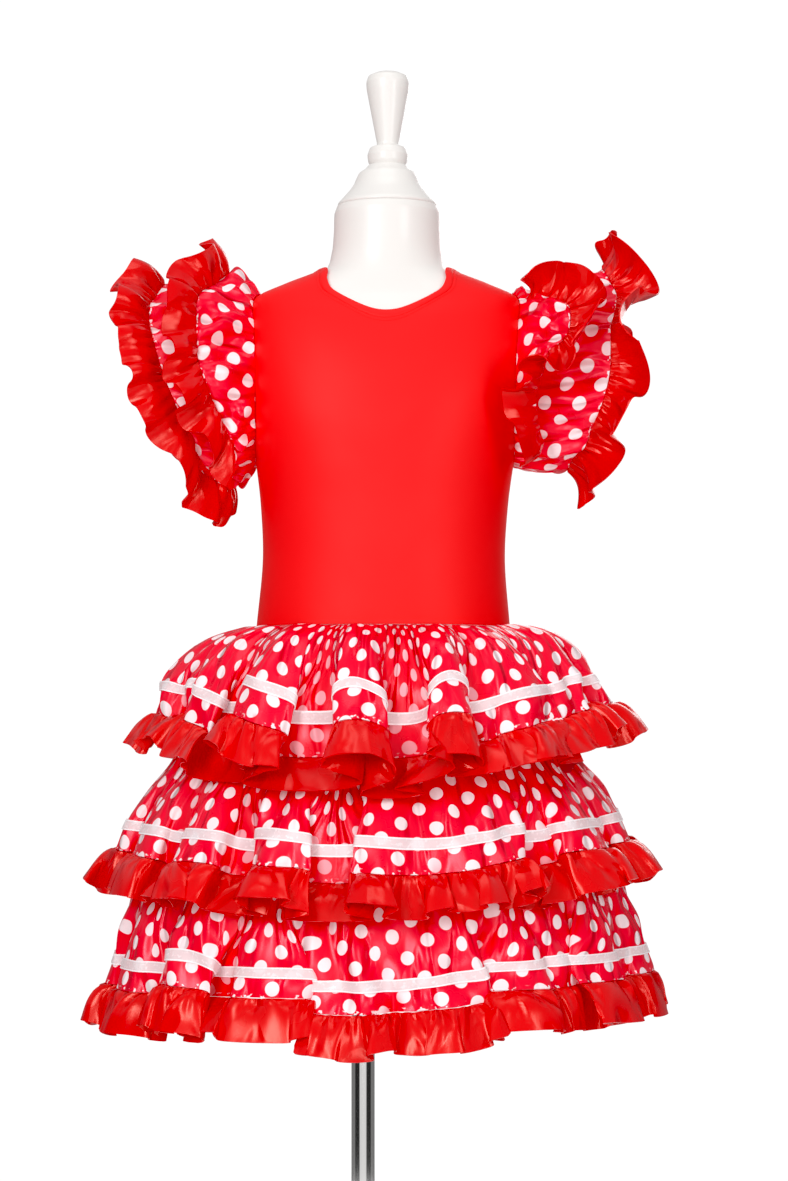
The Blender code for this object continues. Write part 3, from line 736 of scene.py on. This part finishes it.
PIPES = (  # edges in degrees, mm out, mm of lift at the left, middle and right, laps there, slant
    ((-66, -46, 6, 26, 8, -16, 0, 1, 6), (-37, -22.6, 15, 31, 15, 0, 1, 1, 7),
     (-10, 1.3, 12, 12, 19, 2, 1, 1, -5), (11.7, 20.5, 13, 13, 24, 13, 1, 1, 4),
     (23.5, 42, 4, -10, -2, 9, 0, 1, -5), (45, 70, 8, -14, 8, 24, 1, 0, -6),
     (104, 122, 12, 10, 16, 8, 1, 1, 5), (140, 156, 13, 6, 18, 12, 1, 1, -6),
     (172, 196, 10, 4, 10, 8, 1, 0, 5), (214, 228, 14, 14, 18, 4, 1, 1, -5),
     (250, 268, 10, 6, 12, 8, 0, 1, 5)),
    ((-28, -14.8, 13, 11, 9, 6, 1, 1, -5), (-6, 33.8, 10, 6, 0, 13, 1, 1, 5),
     (94, 116, 11, 8, 12, 6, 1, 1, 6), (134, 150, 12, 4, 14, 10, 1, 1, -5),
     (168, 204, 9, 8, 4, 8, 1, 1, 5), (226, 242, 12, 10, 12, 4, 1, 1, -4)),
    ((-52.3, -35.7, 14, 22, 25, 10, 1, 1, 6), (-14.9, 22.7, 11, -6, -6, 1, 1, 1, -4),
     (34, 49.6, 10, 6, 7, 8, 0, 1, -5), (88, 106, 11, 6, 12, 8, 1, 1, 5),
     (128, 160, 9, 4, 2, 8, 1, 1, -5), (186, 202, 13, 12, 18, 8, 1, 1, 5),
     (230, 262, 9, 6, 2, 6, 1, 1, -5)),
)
PIPE_EDGE = 7  # degrees, the most that a pipe's edge takes
LAP_OVER, LAP_UNDER, LAP_REACH = 1.2, 4, 0.6  # how far the cloth of a pipe's edge goes sideways
FAN = 26  # degrees by which the frill fans out at a pipe's edges
print("folds of each tier:", [len(rows) for rows in TIER_FOLDS], "pipes:", [len(p) for p in PIPES])


# %% Surface of a tier
def pipes(tier, angle, share):
    """(sideways, out, up, calm, fan) of the outer folds of a tier's hem. calm is 1 on a pipe and 0
    in a recess. Further up, the edges soften and slant."""
    sideways, out, up, calm, fan = (np.zeros(np.broadcast(angle, share).shape) for _ in range(5))
    for left, right, height, low, middle, high, left_lap, right_lap, slant in PIPES[tier]:
        centre, half = (left + right) / 2, (right - left) / 2
        edge = min(half, PIPE_EDGE)
        soft = edge * (0.14 + 0.55 * (1 - share) ** 1.2)
        off = (angle - centre - slant * (1 - share) + 180) % 360 - 180
        over = 1 / ((1 + np.exp(np.clip((off - half) / soft, -30, 30)))
                    * (1 + np.exp(np.clip((-off - half) / soft, -30, 30))))
        u = np.clip(off / half, -1.15, 1.15)
        out += 0.55 * height * over * (0.45 + 0.55 * np.cos(0.5 * math.pi * np.clip(u, -1, 1)))
        up += over * (middle + (high - low) / 2 * u + ((high + low) / 2 - middle) * u**2)
        calm = np.maximum(calm, over)
        fan += over * FAN * min(1, 8 / half) * u**3
        for lap, far, way in ((right_lap, off - half, 1), (left_lap, off + half, -1)):
            pull = np.where(far * way > 0, LAP_UNDER, LAP_OVER)
            sideways -= lap * pull * far * np.exp(-(far / (LAP_REACH * edge)) ** 2)
    return sideways * rise(share, 0.35, 0.9), out / 1000, up / 1000, calm, fan


def skirt_ring(angle, spread, height):
    """A section of the skirt: the waist's, wider by the spread and soon as round as an oval."""
    half_width, half_depth, square = table(TORSO, WAIST)
    square = 2 + (square - 2) * np.exp(-spread / 0.02)
    return section(angle, half_width + spread, half_depth + DEPTH_SHARE * spread, square, height)


def tier_top(tier):
    return HEM_SEAMS[tier] + TIER_PROFILES[tier][-1][1]


def tier_point(tier, angle, share):
    """share is 0 at the gathered seam and 1 at the hem."""
    fall, spread = table(TIER_PROFILES[tier], share)
    swing, sway, width = wave(TIER_FOLDS[tier], angle)
    sideways, out, up, calm, _ = pipes(tier, angle, share)
    swing = swing * (1 - 0.55 * calm)
    side = np.sin(np.radians(angle))
    aside = FOLD_SWAY * (1 - calm) * sway + FOLD_SKEW * swing * side**3
    lift = (FOLD_LIFT[tier] * FOLD_DEPTH[tier] * swing * (1 - 0.9 * calm) * share**1.2
            + up * share**1.2 * (2 - 1.15 * share**2) + RECESS_LIFT[tier] * (1 - calm) * share**3)
    height = (tier_top(tier) - fall + lift * (1 - 0.8 * side**2)
              + (SIDE_LIFT[tier] * side**2 + LEFT_SAG[tier] * side) * share)
    small = drapes(angle, share, 90 + tier) + sum(
        gathers(angle, share, 10 * tier + i, *row) for i, row in enumerate(SMALL_GATHERS[tier]))
    small = small * rise(share, -0.02, 0.05) * (1 - 0.45 * side**2)
    both, left = SIDE_TRIM[tier]
    trim = side**2 * (both + left * side) * rise(share, 0, 0.2)
    trim = trim + SIDE_BEND[tier] * np.maximum(-side, 0) ** 2 * np.sin(math.tau * share**0.9)
    folds = FOLD_DEPTH[tier] * share**FOLD_GROWTH * swing + out * (1 - side**2) * share**1.3
    turned = angle + aside * width * share + sideways
    return skirt_ring(turned, spread + folds + small - trim, height)


print("tops of the tiers:", [round(tier_top(tier), 3) for tier in range(3)])


# %% [markdown]
# ## Ribbons and frills of the skirt
# The sheer ribbon is sewn on flat and follows every fold, so its grid is a band of the tier's own
# surface, lifted by the walls. A frill is a strip nearly twice as long as the hem. It swings out at
# every wave, puffed in the middle and pinched into small cushions along its seam. Under a lifted
# pipe it hangs straighter.

# %% Frills
RIBBONS = ((0.738, 0.83), (0.758, 0.852), (0.778, 0.872))  # shares that each ribbon lies between
RIBBON_LIFT = 0.0005
FRILL_WIDTH, FRILL_CURL, FRILL_SWAY = 0.036, 16, 0.0375
FRILL_SLOPE, FRILL_SWING = (40, 36, 24), (9, 9, 8)  # degrees out, and at each wave
SIDE_SLOPE, FRONT_SLOPE = (14, 8, 2), (9, 8, 13)  # degrees more at the sides, in front
RECESS_SLOPE = (0, 0, 6)  # and between the outer folds
RUFFLE_DEPTH, PUFF_DEPTH, PUCKER_DEPTH = 0.0046, 0.0042, 0.003
SIDE_TUCK = 0.005  # of the frill's edge, at both sides
RUFFLES, PUCKERS, RUFFLE_SWAY = (32, 34, 36), 150, 0.15  # counts, and how far the ruffles lean
STRAIGHTER, PIPE_STRAIGHTER = 300, 3  # degrees for each metre that a pipe is lifted, and on it
FRILL_WAVES = (  # angle of the crest, strength
    ((-84, 0.9), (-66, 1.2), (-50, 0.7), (-35, 1.4), (-20, 0.7), (-5, 1.1), (12, 1), (30, 1.4),
     (50, 0.6), (67, 1.2), (84, 0.9), (102, 1.2), (120, 0.8), (138, 1.3), (157, 0.8), (174, 1.1),
     (193, 1), (212, 1.3), (230, 0.8), (249, 1.2)),
    ((-88, 0.9), (-70, 1.1), (-53, 0.8), (-38, 1), (-20, 1.1), (-2, 1), (16, 0.8), (33, 1.4),
     (51, 0.7), (70, 1.2), (88, 0.9), (106, 1.1), (124, 0.9), (142, 1.2), (160, 0.8), (178, 1.2),
     (197, 0.9), (216, 1.1), (235, 0.8), (254, 1.1)),
    ((-84, 1.1), (-66, 0.8), (-46, 1.3), (-30, 0.8), (-14, 1.2), (4, 0.9), (20, 1.1), (37, 0.8),
     (54, 1.1), (72, 0.9), (90, 1.2), (108, 0.8), (126, 1.1), (145, 0.9), (163, 1.2), (181, 0.8),
     (200, 1.1), (219, 0.9), (238, 1.2), (257, 0.9)),
)


def frill_relief(ruffle, pucker, share):
    """A frill's own folds: waves that open to its edge, a puffed middle, puckers under its seam."""
    opening = RUFFLE_DEPTH * ruffle * (0.1 + 0.9 * share) * rise(share, 0, 0.25)
    puffed = PUFF_DEPTH * np.sin(math.pi * share**0.8) * (1 + 0.4 * ruffle)
    fade = rise(share, 0, 0.06) * np.exp(-(share / 0.45) ** 1.5)
    return opening + puffed + PUCKER_DEPTH * pinched(pucker) * fade


def frill_point(tier, angle, share):
    """share is 0 at the seam and 1 at the free edge."""
    swing, sway, width = wave(FRILL_WAVES[tier], angle)
    ruffle, lean, pitch = ruffles(angle, RUFFLES[tier], 60 + tier)
    turned = angle + (FRILL_SWAY * width * sway + RUFFLE_SWAY * pitch * lean) * share
    hem = 1 + 0 * share
    seam, above = tier_point(tier, turned, hem), tier_point(tier, turned, 0.96 * hem)
    sideways, _, up, calm, fan = pipes(tier, turned, hem)
    facing = np.radians(turned + sideways + fan * share)
    outward = points(np.sin(facing), -np.cos(facing), 0)
    side = np.sin(np.radians(angle))
    slope = (FRILL_SLOPE[tier] + SIDE_SLOPE[tier] * side**2 + FRILL_SWING[tier] * swing
             - (STRAIGHTER * np.maximum(up, 0) + PIPE_STRAIGHTER * calm) * (1 - side**4)
             + (FRONT_SLOPE[tier] + RECESS_SLOPE[tier] * (1 - calm)) * (1 - side**2))
    slope = np.radians(slope - FRILL_CURL * (1 - share) / 2)[..., None]
    run = outward * np.sin(slope) - np.cos(slope) * (0, 0, 1)
    face = outward * np.cos(slope) + np.sin(slope) * (0, 0, 1)
    pucker, _, _ = ruffles(angle, PUCKERS, 80 + tier)
    small = frill_relief(ruffle, pucker, share) - SIDE_TUCK * side**2 * share
    return (seam + unit(seam - above) * SEAM + run * (FRILL_WIDTH * share)[..., None]
            + face * small[..., None])


print("waves of each frill:", [len(rows) for rows in FRILL_WAVES])


# %% Pieces of the skirt
SKIRT_BASE = ((0, 0.0028), (0.12, 0.0172), (0.45, 0.0568), (1, 0.083))  # share, spread
SKIRT_BASE_END = 0.012  # how far it goes on under the last tier's seam
TIER_COLUMNS, FRILL_COLUMNS = 860, 1180
TIER_LINES, RIBBON_LINES, FRILL_LINES = 34, 7, 12


def make_tier(tier):
    number, angle = tier + 1, across_grid(int(TIER_COLUMNS * FINE))
    grid = tier_point(tier, angle, down_grid(TIER_LINES))
    cloth_piece(f"tier_{number}_cloth", grid, True, DOTTED, 0.9, 20)
    start, end = RIBBONS[tier]
    grid = tier_point(tier, angle, down_grid(RIBBON_LINES, start - 0.01, end + 0.01))
    grid = grid + normals(grid, True) * (CLOTH / 2 + RIBBON_LIFT + TRIM / 2)
    cloth_piece(f"ribbon_{number}_cloth", grid[1:-1], True, ORGANZA, 0.5, 20, TRIM)
    grid = frill_point(tier, across_grid(int(FRILL_COLUMNS * FINE)), down_grid(FRILL_LINES))
    cloth_piece(f"frill_{number}_cloth", grid, True, SATIN, 0.8, 20)


def make_underskirt():
    """A plain cone of lining that carries the two lower tiers."""
    length = WAIST - tier_top(2) + SKIRT_BASE_END
    angle, share = across_grid(180), down_grid(24)
    spread = table(SKIRT_BASE, share)[0]
    grid = skirt_ring(angle, spread + 0 * angle, WAIST - FIT - length * share + 0 * angle)
    cloth_piece("skirt_base_cloth", grid, True, LINING, 0.9, 8)


for tier in range(3):
    make_tier(tier)
make_underskirt()
print("sheets of cloth so far:", len(measured))


# %% [markdown]
# ## The bodice
# Two panels of stretch knit, sewn at the sides and shoulders, and a narrow stitched binding round
# the neck. Stretch cloth takes the shape that it is pulled over, so the panels are the form's own
# surface, moved a little outwards, and end at the side seams and at the oval armholes.

# %% Panels and neck binding
EASE = 0.0022  # from the form to the middle of the knit
NECK_LOW_FRONT, NECK_LOW_BACK, NECK_POINT = 0.8995, 0.927, 0.941
NECK_ROUNDING, NECK_CURVE, SHOULDER_TILT = 0.12, 1.8, 0.42
BINDING_WIDTH, BINDING_LAP = 0.008, 0.0008
STITCHES, STITCH_DENT = 0.78, 0.0007  # share of the binding's width, and how deep they pull it
ARMHOLE_MIDDLE, ARMHOLE_REACH = (UNDERARM + SHOULDER) / 2, (SHOULDER - UNDERARM) / 2
ARMHOLE_DEPTH, SIDE_GAP = 0.034, 0.02


def neckline(angle, below):
    """Height of the neck's edge, or of a line that runs this far below it."""
    turn = np.radians(angle)
    side = np.hypot(np.sin(turn), NECK_ROUNDING) - NECK_ROUNDING
    side = side / (math.hypot(1, NECK_ROUNDING) - NECK_ROUNDING)
    low = np.where(np.cos(turn) > 0, NECK_LOW_FRONT, NECK_LOW_BACK) - below
    high = NECK_POINT - SHOULDER_TILT * below
    return low + (high - low) * (1 - (1 - side) ** NECK_CURVE)


def side_angle(height):
    """Where a panel of the bodice ends: at the side seam, or at the armhole."""
    inside = 1 - ((height - ARMHOLE_MIDDLE) / ARMHOLE_REACH) ** 2
    edge = ARMHOLE_DEPTH * np.sqrt(np.maximum(inside, 0))
    _, half_depth, square = table(TORSO, height)
    opened = np.degrees(np.arcsin(np.minimum((edge / half_depth) ** (square / 2), 1)))
    return 90 - np.maximum(opened, SIDE_GAP)


def make_panel(name, back):
    across, share = across_grid(int(150 * FINE), -1, 1, False), down_grid(110, 1, 0)
    foot, below = WAIST + FIT, BINDING_WIDTH + SEAM
    side_height = foot + (neckline(90, below) - foot) * share
    angle = across * (90 - (90 - side_angle(side_height)) * across**2)
    angle = 180 - angle if back else angle
    grid = body(angle, foot + (neckline(angle, below) - foot) * share, EASE + 0 * angle)
    cloth_piece(name, grid[:, ::-1] if back else grid, False, STRETCH, 0.7, 8)


def make_binding():
    """The folded edge stands a little rounder than the cloth, with a dent under its stitches."""
    angle = across_grid(int(420 * FINE))
    below = down_grid(11, 0, BINDING_WIDTH + BINDING_LAP)
    share = below / BINDING_WIDTH
    dent = STITCH_DENT * np.exp(-((share - STITCHES) / 0.07) ** 2)
    off = EASE + 0.0005 * np.sin(math.pi * share) - dent + 0 * angle
    grid = body(angle + 0 * below, neckline(angle, below), off)
    cloth_piece("neck_binding_cloth", grid, True, STRETCH, 0.5, 6, BINDING)


make_panel("bodice_front_cloth", False)
make_panel("bodice_back_cloth", True)
make_binding()
print("areas of the bodice:", [round(area, 4) for area in measured.values()])


# %% [markdown]
# ## The sleeves
# Each sleeve is two gathered flounces with frills, one over the other: the lower goes all round the
# armhole, the upper over the shoulder. Two sleeves never crumple alike, so each has its own marks
# for the frill's seam and its free edge, measured from the middle of the armhole. The flounce is
# drawn from the armhole to the first and the frill from there towards the second.

# %% Sizes of the sleeves
SLEEVES = {  # angle round the armhole, then out, up and forward of the seam, and of the edge, in mm
    ("right", "lower"): (
        (0, 69, 80, 0, 84, 94, 4), (22, 77, 70, 24, 98, 84, 32), (45, 79, 50, 46, 100, 58, 60),
        (66, 75, 32, 56, 94, 30, 76), (90, 67, 3, 60, 89, -2, 78), (115, 56, -23, 54, 76, -38, 67),
        (135, 44, -49, 42, 48, -77, 54), (146, 40, -62, 36, 41, -93, 42),
        (152, 40, -71, 32, 49, -110, 34), (158, 37, -78, 28, 54, -123, 30),
        (165, 31, -82, 22, 46, -125, 22), (172, 26, -83, 14, 32, -123, 14),
        (180, 17, -84, 6, 17, -121, 6), (195, 18, -76, -14, 8, -117, -10),
        (225, 32, -54, -43, 44, -82, -54), (270, 56, 0, -60, 81, -4, -77),
        (315, 70, 50, -46, 90, 62, -58)),
    ("right", "upper"): (
        (-116, 6, -38, -46, 16, -58, -64), (-80, 32, 8, -68, 56, 6, -88),
        (-40, 32, 62, -52, 52, 80, -70), (0, 17, 88, 2, 22, 118, 4), (22, 28, 80, 32, 38, 104, 48),
        (44, 38, 62, 53, 55, 73, 73), (62, 39, 38, 62, 58, 36, 87), (80, 37, 12, 68, 55, 4, 92),
        (100, 29, -12, 62, 46, -33, 82), (116, 19, -36, 52, 30, -64, 68),
        (132, 8, -56, 44, 10, -88, 54)),
    ("left", "lower"): (
        (0, 66, 92, 2, 68, 124, 4), (20, 72, 82, 26, 92, 98, 34), (38, 75, 64, 42, 100, 74, 54),
        (62, 69, 40, 56, 80, 46, 82), (92, 68, 2, 60, 94, -5, 76), (120, 59, -30, 54, 70, -48, 74),
        (140, 51, -50, 42, 78, -66, 54), (152, 46, -59, 34, 66, -86, 42),
        (165, 40, -67, 22, 58, -98, 26), (180, 37, -69, 6, 54, -100, 4),
        (200, 38, -62, -20, 56, -88, -34), (225, 42, -50, -44, 60, -70, -56),
        (270, 60, 2, -60, 85, 0, -77), (315, 70, 56, -46, 92, 74, -58)),
    ("left", "upper"): (
        (-116, 6, -38, -46, 16, -58, -64), (-80, 32, 8, -68, 56, 6, -88),
        (-40, 18, 64, -46, 24, 80, -62), (0, 4, 66, 22, 1, 80, 48), (18, 17, 67, 42, 28, 104, 50),
        (34, 31, 59, 56, 50, 94, 62), (48, 35, 49, 64, 65, 72, 76), (60, 34, 36, 69, 52, 34, 94),
        (72, 27, 26, 74, 28, 4, 104), (88, 15, 14, 74, 6, -2, 104), (102, 8, -10, 70, -12, -14, 94),
        (116, 8, -34, 60, -12, -40, 82), (132, 14, -54, 44, 4, -76, 62)),
}
SLEEVE_CRESTS = {  # the frills' waves: angle of the crest, strength
    ("right", "lower"): (
        (-22, 0.9), (10, 0.7), (41, 1.1), (66, 0.6), (88, 0.8), (112, 0.7), (132, 0.5), (166, 1.3),
        (202, 1), (233, 0.8), (260, 1.1), (291, 0.9), (315, 1.1)),
    ("right", "upper"): (
        (-180, 1), (-140, 1), (-108, 0.9), (-78, 1.1), (-42, 0.9), (-12, 1), (22, 1.1),
        (50, 0.9), (70, 0.8), (92, 1.2), (114, 1), (146, 1)),
    ("left", "lower"): (
        (-30, 0.9), (0, 0.8), (32, 1.3), (90, 1.2), (133, 0.7), (172, 0.8), (204, 0.9), (232, 1.1),
        (262, 0.8), (296, 1.1)),
    ("left", "upper"): (
        (-180, 1), (-140, 1), (-104, 1.1), (-74, 0.9), (-44, 0.5), (-16, 0.3), (18, 0.5),
        (46, 1.2), (74, 1.2), (98, 1.2), (122, 1.1), (150, 1)),
}
SLEEVE_FOLDS = {"lower": 10, "upper": 8}
SLEEVE_GATHERS = {"right": 1, "left": 0.6}
ARMHOLE_GATHERS, SEAM_GATHERS = (30, 0.006, 0.5, 10), (34, 0.0048, 0.4, 9)  # as for the tiers
LONG_GATHERS, SLEEVE_DRAPES = (13, 0.0055, 1.4, 14), (7, 0.0016)
SLEEVE_SETBACK, UPPER_SPREAD = 0.0034, 0.0034  # from the form, and of the upper seam outwards
SLEEVE_BELLY, SLEEVE_FOLD_DEPTH, SLEEVE_WAVE_DEPTH = 0.003, 0.0028, 0.0072
SLEEVE_FRILL, SLEEVE_SWAY, SLEEVE_RUFFLES, SLEEVE_PUCKERS = 0.033, 0.0675, 19, 52
SLEEVE_RUFFLE, SLEEVE_PUFF, SLEEVE_DROOP, SLEEVE_PUCKER = 0.0032, 0.0044, 0.003, 0.0022
print("marks of each flounce:", {key: len(rows) for key, rows in SLEEVES.items()})


# %% Surfaces of the sleeves
def armhole_point(side, angle, wider):
    turn = np.radians(angle)
    height = ARMHOLE_MIDDLE + (ARMHOLE_REACH + wider) * np.cos(turn)
    _, half_depth, square = table(TORSO, height)
    forward = (ARMHOLE_DEPTH + wider) * np.sin(turn)
    tilt = np.degrees(np.arcsin(np.minimum(np.abs(forward) / half_depth, 1) ** (square / 2)))
    place = 90 - np.copysign(tilt, forward)
    return body(place if side == "left" else -place, height, SLEEVE_SETBACK)


def sleeve_mark(side, layer, angle, edge):
    """The seam of a sleeve's frill, or the frill's free edge."""
    found = table(SLEEVES[side, layer], angle, layer == "lower")
    out, up, forward = (value / 1000 for value in (found[3:] if edge else found[:3]))
    x = (table(TORSO, ARMHOLE_MIDDLE)[0] + out) * (1 if side == "left" else -1)
    return points(lean_at(ARMHOLE_MIDDLE) + x, -forward, ARMHOLE_MIDDLE + up)


def flounce_point(side, layer, angle, share):
    upper = layer == "upper"
    start = armhole_point(side, angle, UPPER_SPREAD if upper else 0)
    end = sleeve_mark(side, layer, angle, False)
    turn = np.radians(angle)
    outward = points(0, -np.sin(turn), np.cos(turn))
    swing, _, _ = wave(even_crests(SLEEVE_FOLDS[layer]), angle)
    seed = 30 + 2 * (side == "left") + upper
    ends = np.sin(math.pi * np.clip(share, 0, 1)) ** 0.5
    small = (gathers(angle, share, seed, *ARMHOLE_GATHERS)
             + gathers(angle, 1 - share, seed + 7, *SEAM_GATHERS)
             + gathers(angle, share, seed + 13, *LONG_GATHERS)
             + drapes(angle * 0.6, share, seed + 21, *SLEEVE_DRAPES)) * ends * SLEEVE_GATHERS[side]
    swell = SLEEVE_BELLY * np.sin(math.pi * share) + SLEEVE_FOLD_DEPTH * swing * share + small
    return start + (end - start) * share[..., None] + outward * swell[..., None]


def sleeve_frill_point(side, layer, angle, share):
    rows = SLEEVES[side, layer]
    swing, sway, width = wave(SLEEVE_CRESTS[side, layer], angle)
    seed = 40 + 2 * (side == "left") + (layer == "upper")
    ruffle, _, _ = ruffles(angle, SLEEVE_RUFFLES, seed)
    pucker, _, _ = ruffles(angle, SLEEVE_PUCKERS, seed + 20)
    turned = angle + SLEEVE_SWAY * width * sway * share
    if layer == "upper":
        turned = np.clip(turned, rows[0][0], rows[-1][0])
    hem = 1 + 0 * share
    seam = flounce_point(side, layer, turned, hem)
    above = flounce_point(side, layer, turned, 0.95 * hem)
    run = unit(sleeve_mark(side, layer, turned, True) - seam) * SLEEVE_FRILL
    before, after = (sleeve_mark(side, layer, turned + off, False) for off in (-2, 2))
    facing = unit(np.cross(run, after - before))
    fade = rise(share, 0, 0.07) * np.exp(-(share / 0.34) ** 1.5)
    small = SLEEVE_PUFF * np.sin(math.pi * share) - SLEEVE_DROOP * share**2
    small = small + SLEEVE_PUCKER * pinched(pucker) * fade
    lift = (SLEEVE_WAVE_DEPTH * swing + SLEEVE_RUFFLE * ruffle) * share**1.15 + small
    return seam + unit(seam - above) * SEAM + run * share[..., None] + facing * lift[..., None]


print("top of the armholes:", np.round(armhole_point("left", 0, 0), 3).tolist())


# %% Flounces and their frills
def make_sleeve(side, layer):
    ring, rows = layer == "lower", SLEEVES[side, layer]
    first, last = (-180, 180) if ring else (rows[0][0], rows[-1][0])
    for part, surface, columns, lines, finish, ruler, reach in (
            ("flounce", flounce_point, 380 if ring else 260, 22, DOTTED, 1, 10),
            ("frill", sleeve_frill_point, 520 if ring else 380, FRILL_LINES, SATIN, 0.8, 14)):
        angle = across_grid(int(columns * FINE), first, last, ring)
        grid = surface(side, layer, angle, down_grid(lines))
        grid = grid[:, ::-1] if side == "left" else grid
        cloth_piece(f"sleeve_{side}_{layer}_{part}_cloth", grid, ring, finish, ruler, reach)


for side, layer in SLEEVES:
    make_sleeve(side, layer)
print("sheets of cloth:", len(measured))


# %% [markdown]
# ## The cut
# Every sheet is listed with the size it was cut to, and the share of that cut which its shape takes
# is printed. Tiers, ribbons and frills are straight strips joined into rings, and the flounces are
# curved strips. The knit is cut a little smaller than the form and stretched over it. The share in
# the shape shows what the finest puckers take up.

# %% Cut sizes
BODICE = ["bodice_front_cloth", "bodice_back_cloth"]
CUTS = {  # across, down, area if it isn't a rectangle, how it is held, and by what
    "bodice_front": (0.29, 0.3, 0.072, "stretched", ["form_torso_shell"]),
    "bodice_back": (0.29, 0.311, 0.075, "stretched", ["form_torso_shell"]),
    "neck_binding": (0.41, 0.01, None, "stretched", BODICE),
    "skirt_base": (1.09, 0.215, 0.19, "hung", BODICE),
}
SKIRT_CUTS = {
    "tier": ((1.7, 0.124), (1.75, 0.116), (1.85, 0.119), "gathered", "skirt_base_cloth"),
    "ribbon": ((1.95, 0.01), (1.95, 0.01), (2, 0.01), "laid", "tier_{}_cloth"),
    "frill": ((3, 0.04), (3.05, 0.04), (2.7, 0.039), "gathered", "tier_{}_cloth"),
}
SLEEVE_CUTS = {
    "lower_flounce": (0.54, 0.08, 0.0315, "bodice_front_cloth"),
    "lower_frill": (0.66, 0.036, None, "sleeve_{}_lower_flounce_cloth"),
    "upper_flounce": (0.4, 0.06, 0.0166, "bodice_front_cloth"),
    "upper_frill": (0.54, 0.035, None, "sleeve_{}_upper_flounce_cloth"),
}
for part, (*sizes, held, holder) in SKIRT_CUTS.items():
    for number, size in enumerate(sizes, 1):
        CUTS[f"{part}_{number}"] = (*size, None, held, [holder.format(number)])
for side in ("right", "left"):
    for part, (*cut, holder) in SLEEVE_CUTS.items():
        CUTS[f"sleeve_{side}_{part}"] = (*cut, "gathered", [holder.format(side)])
for node, (width, length, area, held, holders) in CUTS.items():
    cloth = bpy.data.objects[f"{node}_cloth"]
    share = measured[cloth.name] / (area or width * length)
    print(f"{node}: cut {width:.3f} x {length:.3f} m, {share:.2f} of it in the shape")


# %% [markdown]
# ## The form and its stand
# The cap, finial, pole and base are turned, so each is a profile swept once round, and the body is
# lofted through its sections. Both are rings of points, joined and capped in the same way.

# %% Lofted and turned shapes
def closed_loft(name, rings, finish, crease):
    """Joins rings of points and caps both ends."""
    rings = np.array(rings)
    count, columns = rings.shape[:2]
    corners = [*rings.reshape(-1, 3), rings[0].mean(axis=0), rings[-1].mean(axis=0)]
    low, high, top = count * columns, count * columns + 1, (count - 1) * columns
    pairs = [(c, (c + 1) % columns) for c in range(columns)]
    faces = [(r + c, r + d, r + columns + d, r + columns + c)
             for r in range(0, top, columns) for c, d in pairs]
    for c, d in pairs:
        faces += [(low, d, c), (high, top + c, top + d)]
    mesh = bpy.data.meshes.new(name)
    mesh.from_pydata(corners, [], faces)
    return add_piece(name, mesh, finish, crease)


def turned(name, profile, x, foot, finish, steps=72):
    """A turned shape: rings from a profile of (radius, height), from its foot upwards."""
    angle = np.linspace(0, math.tau, steps, endpoint=False)
    rings = [points(x + radius * np.cos(angle), radius * np.sin(angle), foot + height)
             for radius, height in profile]
    return closed_loft(name, rings, finish, 40)


CORNER_CUT = 0.0012


def rounded(profile):
    """A profile with each of its corners cut by a small curve."""
    done = [profile[0]]
    for before, corner, after in zip(profile, profile[1:], profile[2:]):
        b, c, a = (np.array(place, float) for place in (before, corner, after))
        first, second = np.linalg.norm(b - c), np.linalg.norm(a - c)
        cut = min(CORNER_CUT, 0.4 * first, 0.4 * second)
        start, end = c + (b - c) / first * cut, c + (a - c) / second * cut
        for t in (0, 0.25, 0.5, 0.75, 1):
            done.append(tuple((1 - t) ** 2 * start + 2 * t * (1 - t) * c + t**2 * end))
    return [*done, profile[-1]]


print("a right corner becomes", len(rounded([(0, 0), (1, 0), (1, 1)])), "points")


# %% Form, cap, finial, pole and base
CAP = ((0.0412, 0), (0.0419, 0.0008), (0.0414, 0.0028), (0.0382, 0.0062), (0.0318, 0.0135),
       (0.028, 0.019), (0.0258, 0.0245), (0.024, 0.0282), (0.019, 0.0315), (0.0165, 0.0345))
FINIAL = ((0.0145, 0), (0.0165, 0.003), (0.0172, 0.009), (0.015, 0.015), (0.0092, 0.017),
          (0.0092, 0.019), (0.0178, 0.064), (0.0181, 0.07), (0.0165, 0.075),
          (0.01, 0.078), (0, 0.0785))
POLE_RADIUS, BASE_RADIUS, BASE_HEIGHT, BOSS_TOP = 0.00975, 0.14, 0.01, 0.028
BLUNT = 0.0006  # chamfer at the pole's ends


def make_form():
    angle = np.linspace(0, 360, 120, endpoint=False)
    heights = np.unique([*np.linspace(FORM_FOOT, NECK_TOP, 90), *(row[0] for row in TORSO)])
    rings = [section(angle, *table(TORSO, height), height) for height in heights]
    closed_loft("form_torso_shell", rings, WHITE, 50)
    foot = NECK_TOP + FIT
    turned("neck_cap_shell", rounded(CAP), lean_at(foot), foot, WHITE)
    foot = foot + CAP[-1][1] + FIT
    turned("finial_shell", rounded(FINIAL), lean_at(foot), foot, WHITE)


def make_stand():
    foot, top = BOSS_TOP + FIT, FORM_FOOT - FIT
    pole = ((POLE_RADIUS - BLUNT, foot), (POLE_RADIUS, foot + BLUNT),
            (POLE_RADIUS, top - BLUNT), (POLE_RADIUS - BLUNT, top))
    turned("pole_tube", pole, 0, 0, CHROME)
    base = ((BASE_RADIUS, 0), (BASE_RADIUS, 0.0035), (BASE_RADIUS - 0.006, 0.0075),
            (0.03, BASE_HEIGHT), (0.0185, BASE_HEIGHT + 0.001), (0.0175, BOSS_TOP - 0.002),
            (0.0155, BOSS_TOP))
    turned("stand_base_plate", rounded(base), 0, 0, CHROME, 120)


make_form()
make_stand()
print("hard pieces made, up to", round(NECK_TOP + CAP[-1][1] + FINIAL[-1][1] + 2 * FIT, 4), "m")
